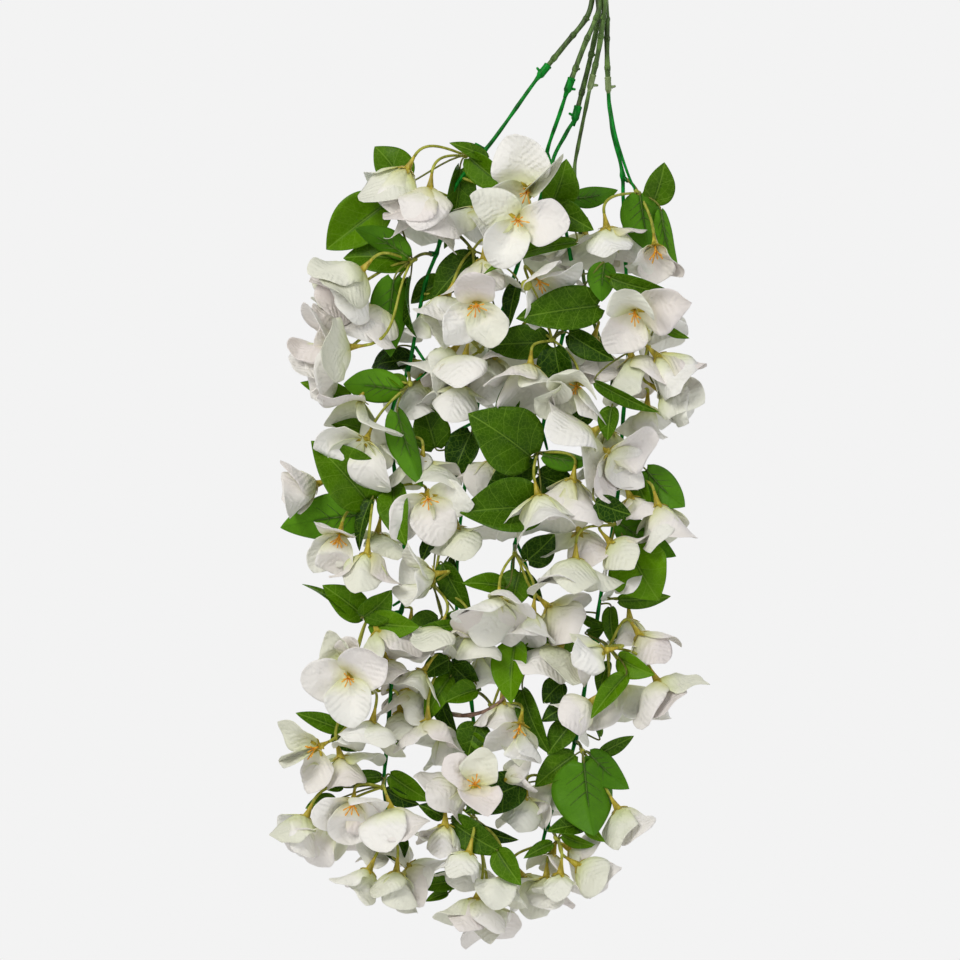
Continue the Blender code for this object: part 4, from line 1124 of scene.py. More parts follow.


# The last entry of a Leaf is its tone, D to B, which is partly the leaf's print and partly painted light and
# shade, given leaf by leaf.
CLUSTERS: tuple[Cluster, ...] = (
    Cluster(1, 1, 180, (-107, 184, -12), (
        Bloom(-154, 195, -26, 240, -10, 44, 42, (112, 52, 230)),
        Bloom(-136, 211, -42, 262, 0, 44, 36, (95, 150, 20)), Bloom(-139, 228, -10, 260, 0, 42, 42, (30,)),
    ), (
        Leaf((-104, 186, -18), (-70, 214, -26), 26, 20, M),
        Leaf((-112, 194, 10), (-125, 258, 14), 28, -30, P), Leaf((-158, 205, 2), (-180, 175, 6), 32, 20, M),
        Leaf((-90, 187, -20), (-121, 175, -26), 12, 25, M),
    )),
    Cluster(2, 1, 262, (-150, 268, -16), (
        Bloom(-190, 276, -36, 226, -5, 46, 46, (142, 92, 38, 240)),
        Bloom(-200, 338, -42, 186, 8, 48, 44, (92, 15, 318, 160)),
        Bloom(-174, 303, -12, 244, 0, 46, 40, (108, 60, 215)),
        Bloom(-204, 320, -14, 190, 0, 35, 46, (120, 60, 200)),
        Bloom(-212, 345, -20, 211, 0, 43, 38, (90, 132, 48)),
        Bloom(-196, 290, -18, 212, 0, 40, 36, (90, 132, 48)),
    ), (
        Leaf((-172, 223, -6), (-219, 259, 4), 47, 10, F),
        Leaf((-153, 266, -26), (-196, 242, -44), 22, 160, M),
        Leaf((-154, 268, -12), (-206, 264, -8), 30, 20, M),
        Leaf((-165, 284, -24), (-169, 346, -26), 31, 165, M),
        Leaf((-152, 282, -14), (-146, 330, -20), 22, 70, D),
    )),
    Cluster(3, 1, 356, (-152, 367, -22), (
        Bloom(-192, 380, -32, 251, 8, 46, 62, (138, 20, 268)),
        Bloom(-187, 412, -42, 245, 32, 40, 60, (205, 262, 322)), Bloom(-166, 410, -8, 272, 0, 42, 42, (60,)),
    ), (
        Leaf((-160, 372, -26), (-206, 367, -48), 27, 170, B),
        Leaf((-155, 368, -20), (-171, 361, -26), 12, 30, M),
        Leaf((-200, 380, -12), (-240, 366, -10), 17, 20, F),
        Leaf((-180, 406, -8), (-217, 397, -10), 18, 20, M), Leaf((-148, 348, 8), (-185, 352, 20), 22, 20, D),
        Leaf((-165, 338, 0), (-182, 362, -4), 14, 70, D),
        Leaf((-162, 390, -40), (-141, 449, -48), 27, 155, M),
    )),
    Cluster(4, 1, 448, (-180, 456, -14), (
        Bloom(-227, 447, -12, 196, 5, 36, 46, (128, 60, 270)),
        Bloom(-208, 487, -32, 258, 35, 33, 54, (240, 296, 110), True),
        Bloom(-186, 502, -44, 264, -8, 36, 38, (95, 350, 205)), Bloom(-178, 486, -4, 260, 0, 36, 65, (60,)),
        Bloom(-138, 457, -38, 280, 60, 38, 58, (356, 278, 205), True),
        Bloom(-142, 428, -18, 268, 0, 44, 60, (60,)),
    ), (
        Leaf((-187, 460, -20), (-229, 413, -34), 50, 10, M),
        Leaf((-192, 472, -10), (-256, 482, -10), 37, 168, B),
        Leaf((-183, 460, -26), (-195, 500, -28), 13, 30, D),
        Leaf((-165, 450, -20), (-157, 495, -44), 27, 20, M),
    )),
    Cluster(6, 1, 240, (-102, 260, -4), (
        Bloom(-93, 267, -24, 268, 0, 40, 44, (95, 178, 2)),
        Bloom(-122, 297, -26, 248, 0, 33, 38, (125, 50, 270)),
        Bloom(-99, 303, -48, 270, 60, 38, 60, (92, 298, 234), True),
        Bloom(-136, 308, 2, 262, 0, 36, 40, (60,)),
    ), (
        Leaf((-102, 265, -6), (-133, 300, -2), 28, 20, P), Leaf((-124, 284, 6), (-152, 302, 10), 22, 20, P),
        Leaf((-80, 330, -30), (-116, 328, -36), 12, 20, D),
        Leaf((-66, 286, -20), (-73, 322, -26), 16, 30, D),
    )),
    Cluster(7, 3, 202, (-42, 204, -24), (
        Bloom(-58, 213, -46, 250, 66, 43, 72, (118, 235, 60), True, 2),
        Bloom(-66, 237, -58, 270, 80, 38, 76, (150, 240, 350), True),
        Bloom(-96, 226, -2, 240, -10, 44, 45, (30,)),
    ), (
        Leaf((-38, 222, -30), (-27, 188, -40), 32, 20, M), Leaf((-36, 226, -34), (-5, 245, -44), 24, 10, P),
        Leaf((-20, 255, -46), (-94, 277, -44), 15, 40, M), Leaf((-56, 256, -6), (-92, 262, 2), 30, 20, P),
    )),
    Cluster(8, 5, 200, (31, 214, -6), (
        Bloom(5, 242, -30, 280, -15, 36, 60), Bloom(44, 257, -28, 276, 30, 31, 36, (198, 315, 262), True),
        Bloom(22, 245, 18, 265, 0, 42, 45), Bloom(-12, 246, 14, 260, 0, 44, 50, (60,)),
        Bloom(-34, 252, 10, 245, 0, 42, 45, (30,)),
    ), (
        Leaf((43, 221, -4), (53, 190, -8), 26, 20, M), Leaf((32, 216, -14), (40, 262, -10), 34, 165, M),
        Leaf((49, 228, -8), (62, 282, -6), 15, 160, F), Leaf((-22, 218, 2), (15, 212, -4), 17, 165, P),
        Leaf((8, 283, -46), (58, 295, -48), 17, 20, P),
    )),
    Cluster(10, 3, 325, (-38, 332, -26), (
        Bloom(-51, 283, -40, 310, 35, 40, 45, (80, 0, 210), True),
        Bloom(-56, 352, -42, 265, 15, 44, 50, (30,)),
        Bloom(-19, 367, -50, 262, 50, 38, 56, (100, 228, 312), True, 2),
        Bloom(-5, 330, 0, 250, 0, 38, 45, (60,)), Bloom(0, 342, 4, 275, 0, 40, 48),
        Bloom(-66, 334, 2, 255, 0, 38, 45, (30,)),
    ), (
        Leaf((-2, 305, -38), (-66, 314, -52), 36, 10, P), Leaf((-42, 334, -20), (-92, 336, -14), 29, 10, P),
        Leaf((-36, 338, -30), (-28, 372, -22), 33, 20, D), Leaf((-25, 327, -30), (12, 348, -34), 22, 20, D),
        Leaf((3, 271, -46), (1, 302, -48), 23, 168, M), Leaf((-79, 392, -24), (-71, 362, -26), 21, 20, P),
        Leaf((-30, 372, -18), (-66, 356, -12), 22, 20, D),
    ), buds=((-59, 289, -56),)),
    Cluster(11, 5, 326, (38, 336, -8), (
        Bloom(27, 309, -48, 270, 52, 38, 70, (112, 13, 230), True),
        Bloom(45, 345, -32, 314, -5, 41, 34, (98, 348, 225)), Bloom(25, 346, -24, 285, 0, 44, 35, (30,)),
        Bloom(48, 372, -18, 330, 0, 39, 32, (62, 118, 272)), Bloom(38, 318, 0, 300, 0, 42, 50, (60,)),
    ), (
        Leaf((44, 367, -16), (80, 372, -16), 13, 50, F), Leaf((-4, 366, -50), (46, 391, -48), 14, 35, P),
        Leaf((50, 321, -36), (71, 331, -38), 9, 40, M),
    )),
    Cluster(12, 2, 335, (-96, 340, 10), (
        Bloom(-108, 345, -14, 258, 5, 40, 45), Bloom(-100, 330, 34, 265, -20, 30, 45, (30,)),
        Bloom(-86, 345, 2, 265, 0, 42, 25), Bloom(-118, 340, 2, 225, 10, 42, 25, (60,)),
        Bloom(-112, 368, -8, 264, 0, 41, 48, (95, 215, 335)), Bloom(-144, 364, 14, 262, 0, 38, 35),
    ), (
        Leaf((-103, 406, 4), (-118, 445, 0), 28, 20, D), Leaf((-132, 418, 8), (-143, 383, 6), 30, 10, P),
    )),
    Cluster(13, 3, 412, (-50, 422, -26), (
        Bloom(-50, 456, -48, 282, 10, 45, 50), Bloom(-22, 443, -38, 260, -10, 44, 50, (30,)),
        Bloom(-87, 430, 0, 246, 0, 36, 32),
    ), (
        Leaf((-56, 425, -36), (-104, 391, -50), 54, 10, P),
        Leaf((-50, 466, -34), (-112, 470, -44), 50, 10, P),
        Leaf((-54, 432, -24), (-93, 457, -26), 26, 15, D), Leaf((-46, 424, -32), (-7, 430, -44), 18, 160, M),
        Leaf((-49, 440, -22), (-18, 452, -18), 30, 20, D),
    )),
    Cluster(14, 4, 388, (6, 398, -14), (
        Bloom(-6, 405, -44, 212, -8, 42, 50, (158, 108, 20)),
        Bloom(7, 422, -42, 330, 30, 38, 58, (322, 250, 180)), Bloom(8, 405, -10, 270, 0, 40, 35),
        Bloom(38, 385, 6, 265, -10, 31, 40, (60,)), Bloom(24, 458, -22, 292, 0, 25, 36, (30,)),
        Bloom(46, 464, -24, 284, 0, 42, 36, (122, 52, 270)), Bloom(4, 432, -4, 265, 0, 40, 48, (60,)),
    ), (
        Leaf((9, 386, -48), (6, 413, -50), 18, 20, P), Leaf((-8, 390, -22), (-24, 403, -26), 18, 20, D),
        Leaf((27, 438, -16), (41, 470, -20), 15, 20, M), Leaf((37, 436, -14), (67, 468, -24), 32, 160, M),
        Leaf((-4, 462, -48), (24, 472, -50), 22, 20, D),
    )),
    Cluster(16, 5, 474, (12, 480, -18), (
        Bloom(8, 494, -38, 310, 0, 36, 48), Bloom(-20, 506, -50, 268, 0, 43, 56, (90, 192, 348, 128)),
        Bloom(-17, 486, -26, 275, -20, 36, 60, (60,)), Bloom(16, 516, -18, 300, 0, 30, 42),
    ), (
        Leaf((16, 479, -22), (61, 505, -22), 26, 165, M), Leaf((25, 502, -26), (46, 540, -34), 50, 10, B),
        Leaf((15, 540, -10), (57, 537, -4), 15, 20, M),
    )),
    Cluster(17, 3, 496, (-68, 503, -20), (
        Bloom(-81, 539, -46, 268, 30, 42, 56, (60, 208, 290, 250, 165)),
        Bloom(-54, 550, -34, 262, 15, 30, 30, (30,)), Bloom(-42, 545, -20, 315, -5, 40, 42),
    ), (
        Leaf((-76, 530, -26), (-110, 526, -32), 19, 20, M),
        Leaf((-64, 518, -10), (-70, 548, -14), 28, 20, M), Leaf((-60, 520, -12), (-46, 542, -16), 16, 20, D),
        Leaf((-58, 508, -30), (-36, 488, -34), 26, 20, D),
    )),
    Cluster(18, 1, 520, (-134, 528, -12), (
        Bloom(-115, 481, -20, 280, -10, 34, 50), Bloom(-133, 519, -32, 190, 25, 36, 46, (20, 150, 270)),
        Bloom(-128, 562, -30, 245, 0, 38, 50), Bloom(-106, 567, -22, 264, 5, 34, 46, (30,)),
        Bloom(-152, 560, 8, 265, 0, 36, 42, (60,)),
    ), (
        Leaf((-126, 511, -16), (-104, 552, -18), 21, 20, P),
        Leaf((-129, 556, -24), (-157, 569, -28), 24, 40, P),
        Leaf((-122, 556, -26), (-98, 552, -30), 21, 20, M),
        Leaf((-113, 560, -30), (-155, 569, -32), 11, 20, M),
        Leaf((-133, 490, -8), (-142, 510, -10), 14, 40, D),
        Leaf((-136, 531, -14), (-157, 543, -16), 11, 50, P),
        Leaf((-118, 505, -12), (-111, 524, -12), 10, 40, D),
    )),
    Cluster(19, 1, 549, (-186, 555, -14), (
        Bloom(-204, 588, -24, 200, 60, 26, 62, (178, 110, 300)),
        Bloom(-200, 600, -50, 250, 70, 36, 74, (196, 52, 292), True),
        Bloom(-178, 564, -34, 290, -5, 40, 40, (30,)), Bloom(-172, 588, -12, 280, 0, 34, 55),
    ), (
        Leaf((-190, 552, -18), (-221, 528, -26), 27, 10, M),
        Leaf((-189, 553, -34), (-166, 533, -38), 27, 20, M),
        Leaf((-184, 558, -32), (-144, 561, -46), 24, 10, F),
        Leaf((-200, 553, -22), (-238, 527, -26), 11, 60, P),
    )),
    Cluster(20, 5, 572, (7, 578, -16), (
        Bloom(31, 567, -24, 304, -5, 36, 38, (88, 345, 225)),
        Bloom(45, 604, -32, 298, -5, 38, 50, (14, 150, 92)), Bloom(3, 580, -44, 192, 0, 32, 42),
        Bloom(-8, 621, -40, 222, -5, 34, 36, (100, 345, 200)), Bloom(17, 608, -10, 272, -5, 47, 40, (30,)),
        Bloom(24, 556, -2, 275, 0, 34, 40),
    ), (
        Leaf((15, 586, -26), (44, 599, -40), 22, 20, B), Leaf((20, 600, -40), (-8, 632, -56), 19, 20, F),
        Leaf((7, 590, -18), (-2, 616, -22), 14, 30, P), Leaf((9, 546, -8), (12, 578, -12), 15, 30, M),
        Leaf((-14, 552, -4), (7, 560, -6), 12, 40, M), Leaf((-10, 566, -2), (4, 562, -4), 14, 40, P),
        Leaf((0, 650, -12), (-12, 632, -16), 12, 60, P),
    )),
    Cluster(21, 3, 578, (-58, 592, -12), (
        Bloom(-32, 578, -16, 244, 0, 46, 48, (120, 60, 250)),
    ), (
        Leaf((-68, 576, -22), (-72, 622, -36), 33, 25, B), Leaf((-62, 582, -14), (-12, 569, 0), 22, 20, M),
        Leaf((-30, 606, -18), (-46, 622, -20), 20, 20, D), Leaf((-20, 622, -22), (-47, 637, -24), 18, 20, D),
        Leaf((-62, 612, -12), (-40, 664, -18), 20, 20, P), Leaf((-22, 638, -16), (-42, 664, -18), 22, 20, P),
        Leaf((-52, 575, 4), (-18, 596, 10), 26, 20, D),
    )),
    Cluster(22, 2, 576, (-122, 585, 4), (
        Bloom(-141, 597, -14, 235, 10, 34, 50), Bloom(-138, 636, -18, 268, 0, 40, 50, (30,)),
        Bloom(-125, 648, 10, 290, 0, 34, 40), Bloom(-94, 582, 2, 285, 0, 36, 42, (60,)),
        Bloom(-154, 612, 4, 262, 0, 40, 38, (30,)),
    ), (
        Leaf((-121, 588, -8), (-143, 601, -18), 19, 20, D),
        Leaf((-119, 592, -4), (-96, 613, -10), 25, 10, D),
        Leaf((-120, 602, -8), (-141, 638, -14), 19, 20, F),
        Leaf((-99, 612, -14), (-124, 622, -18), 22, 20, M), Leaf((-130, 613, 2), (-115, 650, 6), 17, 30, D),
    )),
    Cluster(23, 2, 612, (-86, 626, -6), (
        Bloom(-100, 688, -40, 80, 68, 31, 60, (262, 340, 112), True),
        Bloom(-113, 686, -22, 222, -5, 33, 38, (95, 160, 350)), Bloom(-60, 698, -6, 265, 0, 34, 30),
        Bloom(-77, 686, -14, 15, -5, 29, 32, (30,)),
        Bloom(-64, 639, -34, 260, 30, 34, 50, (212, 282, 332), True, 2),
        Bloom(-78, 622, -14, 272, 0, 30, 42),
    ), (
        Leaf((-98, 640, -12), (-106, 665, -18), 27, 10, P),
        Leaf((-102, 648, -16), (-86, 661, -20), 13, 20, F),
        Leaf((-64, 688, -16), (-108, 710, -26), 33, 20, D),
    ), bare_twigs=((
        (-122, 631, 6), (-112, 633, -4), (-98, 631, -12), (-86, 626, -16), (-76, 617, -18), (-68, 604, -16),
    ),)),
    Cluster(24, 1, 606, (-182, 614, 8), (
        Bloom(-182, 637, -30, 258, 8, 38, 50, (60, 120, 188, 352)),
        Bloom(-225, 657, -30, 205, 40, 34, 62, (213, 337, 275), True, 2),
        Bloom(-208, 665, -16, 284, -8, 36, 60), Bloom(-160, 629, -2, 278, 0, 32, 45),
    ), (
        Leaf((-206, 645, -2), (-244, 631, -4), 15, 20, M), Leaf((-214, 648, 2), (-196, 663, 0), 12, 30, D),
        Leaf((-172, 653, -6), (-147, 652, -8), 8, 50, B),
    )),
    Cluster(25, 1, 684, (-174, 690, -14), (
        Bloom(-197, 700, -38, 265, 45, 35, 60, (208, 40, 262, 316), True),
        Bloom(-167, 706, -42, 288, 0, 40, 38, (62, 132, 300)),
        Bloom(-235, 713, -20, 245, -5, 37, 30, (128, 62, 270)),
        Bloom(-217, 722, -24, 240, 25, 34, 40, (200, 290, 250)), Bloom(-190, 722, 8, 262, 0, 42, 44, (60,)),
        Bloom(-168, 732, 10, 262, 0, 32, 44, (60,)),
    ), (
        Leaf((-175, 682, -10), (-216, 687, -12), 13, 20, P),
        Leaf((-206, 690, -8), (-231, 685, -10), 14, 20, M),
        Leaf((-168, 680, -16), (-136, 701, -20), 19, 20, M),
        Leaf((-171, 692, -10), (-145, 705, -12), 15, 20, D),
        Leaf((-212, 700, -12), (-236, 706, -14), 13, 20, P),
    )),
    Cluster(26, 1, 719, (-166, 730, 2), (
        Bloom(-185, 756, -16, 244, -5, 32, 40, (62, 138, 270)),
        Bloom(-163, 757, -24, 264, 0, 32, 40, (118, 55, 270)),
        Bloom(-154, 754, -4, 328, -5, 36, 46, (130, 62, 200)),
    ), (
        Leaf((-163, 730, 2), (-160, 752, -2), 24, 20, D),
    )),
    Cluster(27, 2, 702, (-100, 716, -4), (
        Bloom(-124, 719, -30, 268, -8, 30, 44), Bloom(-105, 741, -38, 256, 5, 30, 26, (98, 330, 212)),
        Bloom(-99, 779, -18, 253, 0, 36, 46, (160, 92, 20)),
        Bloom(-78, 761, -30, 268, 0, 32, 38, (110, 12, 250)), Bloom(-62, 762, 2, 303, 0, 41, 36),
        Bloom(-89, 785, 2, 274, 0, 38, 30, (85, 215, 312)), Bloom(-104, 748, 2, 254, 0, 36, 40),
    ), (
        Leaf((-118, 718, -20), (-77, 743, -40), 25, 10, P),
        Leaf((-82, 740, -36), (-63, 767, -46), 22, 10, M), Leaf((-112, 766, 4), (-146, 771, 6), 18, 20, M),
        Leaf((-122, 776, 4), (-140, 782, 4), 9, 20, M), Leaf((-100, 722, -8), (-66, 734, -12), 14, 20, D),
        Leaf((-126, 714, -12), (-145, 704, -16), 14, 20, D),
    )),
    Cluster(28, 5, 652, (-14, 661, -16), (
        Bloom(14, 707, -16, 300, -5, 33, 38, (120, 55, 250)), Bloom(-40, 688, 16, 265, 0, 40, 40, (30,)),
    ), (
        Leaf((-13, 670, -30), (-5, 728, -42), 54, 165, M), Leaf((-12, 718, -28), (4, 733, -30), 11, 20, F),
        Leaf((-20, 664, -18), (-53, 689, -16), 23, 20, M), Leaf((-8, 664, -22), (22, 692, -18), 27, 160, M),
        Leaf((0, 663, -8), (27, 649, -2), 13, 20, P),
    )),
    Cluster(29, 5, 720, (-34, 733, -8), (
        Bloom(-32, 758, -32, 264, -5, 27, 36), Bloom(-18, 752, -24, 326, 0, 38, 40, (100, 35, 262)),
        Bloom(-38, 744, -10, 255, 10, 24, 40, (60,)), Bloom(-24, 740, 0, 330, 0, 28, 44, (30,)),
        Bloom(-43, 762, -8, 266, 0, 35, 40),
    ), (
        Leaf((-38, 735, -14), (-61, 746, -22), 11, 20, M), Leaf((-13, 720, -20), (-42, 724, -30), 19, 20, P),
        Leaf((-30, 728, -14), (-4, 738, -18), 12, 30, F),
    )),
)


# ---------------------------------------------------------------- crown, stems and vines
@dataclass
class Hardware:
    """The moulded parts that carry the spray: the crown stub, the five stems, and a vine on each of them."""

    finishes: Finishes
    crown_height: float = 48.0 * MM
    crown_top: float = 8.0 * MM
    crown_foot: float = 9.4 * MM
    crown_edge: float = 1.2 * MM
    crown_bands: tuple[float, ...] = (7.0 * MM, 12.0 * MM)
    band_width: float = 1.6 * MM
    band_depth: float = 0.5 * MM
    flute: float = 0.7 * MM
    bore_circle: float = 5.3 * MM
    stem_radius: float = 2.15 * MM
    stem_step: float = 1.6 * MM
    nub_shares: tuple[float, ...] = (0.38, 0.56, 0.8)
    vine_radius: float = 1.6 * MM
    joint_swell: float = 0.75 * MM
    joint_length: float = 2.6 * MM
    shoot_radius: float = 1.3 * MM
    slim_collar: float = 0.8

    def stem_path(self, number: int) -> np.ndarray:
        """The middle line of a stem, from inside the crown down to its cut end.

        Args:
            number: the number of the stem.

        Returns:
            Its points, one a row.
        """
        angle = math.radians(BORE_ANGLES[number])
        foot = turned(np.float64(self.bore_circle), angle, -self.crown_height)
        route = [place(*knot) for knot in STEM_ROUTES[number]]
        return smooth_route([foot + 8 * UP * MM, foot - 4 * UP * MM, *route], self.stem_step)

    def stem_end(self, number: int) -> tuple[np.ndarray, np.ndarray]:
        """The cut end of a stem, and the direction that it points in."""
        path = self.stem_path(number)
        return path[-1], unit(path[-1] - path[-6])

    def vine_path(self, number: int) -> np.ndarray:
        """The middle line of a vine, from its stem's end to its own.

        Args:
            number: the number of the vine.

        Returns:
            Its points, one a row.
        """
        end, along = self.stem_end(number)
        route = [place(*knot) for knot in VINE_ROUTES[number]]
        return smooth_route([end - along * 2 * MM, end + along * 3 * MM, *route], ROUTE_STEP)

    def crown(self) -> bpy.types.Object:
        """A turned stub with rounded edges, pressed bands, five flutes, and a lip about each stem.

        Its radius is a straight taper, less flutes that deepen downward.

        Returns:
            The piece.
        """
        quarter = np.linspace(0.0, math.pi / 2, 5)
        rim = self.crown_edge * np.stack([np.sin(quarter) - 1.0, 1.0 - np.cos(quarter)], axis=1)
        height, side = self.crown_height, np.linspace(0.04, 0.96, 14)
        drops = np.concatenate([rim[:, 1], side * height, height - rim[::-1, 1]])
        taper = self.crown_top + (self.crown_foot - self.crown_top) * drops / height
        inset = np.concatenate([rim[:, 0], np.zeros(len(side)), rim[::-1, 0]])
        bands = [np.exp(-(((drops - middle) / self.band_width) ** 2)) for middle in self.crown_bands]
        turn = ring_angles(40)
        flutes = self.flute * np.clip(drops / height - 0.35, 0.0, 1.0)[:, None] * (1 - np.cos(5 * turn))
        radius = (taper + inset - self.band_depth * sum(bands))[:, None] - flutes
        rings = turned(radius, turn, -drops[:, None])
        buffer = MeshBuffer()
        buffer.add_rings(rings, rings[0].mean(axis=0), rings[-1].mean(axis=0))
        for number in STEM_ROUTES:
            path = self.stem_path(number)
            lip = np.array([at_drop(path, height / MM + rise) for rise in np.linspace(-1.0, 3.5, 6)])
            buffer.add_tube(lip, np.array([3.1, 3.2, 3.1, 2.9, 2.6, 2.3]) * MM, 14, upright=AWAY)
        return buffer.piece("crown", self.finishes.stem)

    def stem(self, number: int) -> bpy.types.Object:
        """A stem whose radius wanders a little, with cuffs and cut nubs where shoots were left off.

        Args:
            number: the number of the stem.

        Returns:
            The piece.
        """
        draw = np.random.default_rng([7, number])
        path = self.stem_path(number)
        along = np.arange(len(path))
        radii = self.stem_radius * (1.0 + 0.05 * np.sin(along / 3.1 + number) + 0.04 * np.sin(along / 1.7))
        buffer = MeshBuffer()
        buffer.add_tube(path, radii, 16, own=number / 7)
        for share in self.nub_shares:
            row, turn = int(share * len(path)), draw.uniform(-2.6, -0.5)
            way = unit(np.array([math.cos(turn), math.sin(turn), -0.5]))
            buffer.add_peg(path[row], way, (1.0, 4.2), [1.7, 1.5, 1.25, 1.2, 1.1, 0.7], 10, own=share)
            cuff_radii = self.stem_radius + np.array([0.1, 0.5, 0.45, 0.1]) * MM
            buffer.add_tube(path[row - 1:row + 3], cuff_radii, 16, own=share)
        return buffer.piece(f"stem_{number}_moulded", self.finishes.stem)

    def vine(self, number: int) -> bpy.types.Object:
        """A vine with the collar that grips its stem, swollen joints, side shoots and a peg for each sprig.

        Args:
            number: the number of the vine.

        Returns:
            The piece.
        """
        draw = np.random.default_rng([11, number])
        path = self.vine_path(number)
        reach = np.arange(len(path)) * (ROUTE_STEP / MM)
        radii = self.vine_radius * (1.0 + 0.07 * np.sin(reach / 5.3 + number) + 0.05 * np.sin(reach / 2.9))
        grips = [(cluster, at_drop(path, cluster.grip)) for cluster in CLUSTERS if cluster.vine == number]
        for _, joint in grips:
            gap = np.linalg.norm(path - joint, axis=1)
            radii = radii + self.joint_swell * np.exp(-((gap / self.joint_length) ** 2))
        radii[-4:] *= np.array([0.95, 0.85, 0.7, 0.4])
        buffer = MeshBuffer()
        buffer.add_tube(path, radii, 12, own=number / 7)
        self.add_collar(buffer, number)
        for cluster, joint in grips:
            way, peg_radii = unit(place(*cluster.hub) - joint), [1.7, 1.6, 1.5, 1.7, 1.65, 1.3]
            buffer.add_peg(joint, way, (0.0, 7.0), peg_radii, 10, own=draw.uniform())
        for knots in SIDE_SHOOTS[number]:
            shoot = smooth_route([place(*knot) for knot in knots], ROUTE_STEP)
            taper = self.shoot_radius * (1.0 - 0.3 * np.linspace(0.0, 1.0, len(shoot)) ** 3)
            buffer.add_tube(shoot, taper, 10, own=draw.uniform())
        finish = self.finishes.stem if number in OLIVE_VINES else self.finishes.vine
        return buffer.piece(f"vine_{number}_trailing", finish, self.finishes.band)

    def add_collar(self, buffer: MeshBuffer, number: int) -> None:
        """Adds the collar: a sleeve with a rolled lip that narrows to the vine, and the gate tab left on it.

        Args:
            buffer: where it goes.
            number: the number of the vine.
        """
        end, along = self.stem_end(number)
        spots = np.array([-8.0, -7.6, -6.6, -6.0, -3.0, 0.5, 2.2, 3.4, 4.6, 7.0, 9.0])
        radii = np.array([2.5, 3.3, 3.5, 3.2, 3.2, 3.2, 3.3, 2.9, 2.1, 1.75, 1.5])
        pale = number in PALE_COLLARS
        radii = radii * (self.slim_collar if pale else 1.0) * MM
        buffer.add_tube(end + spots[:, None] * along * MM, radii, 16, finish=int(pale), own=number / 5)
        way = unit(np.cross(along, AWAY) * (-1 if number in (1, 3) else 1) - along * 0.2)
        root = end + along * 1.0 * MM
        buffer.add_peg(root, way, (2.6, 6.2), [1.5, 1.3, 1.1, 1.1, 1.0, 0.6], 8, finish=int(pale), own=0.3)


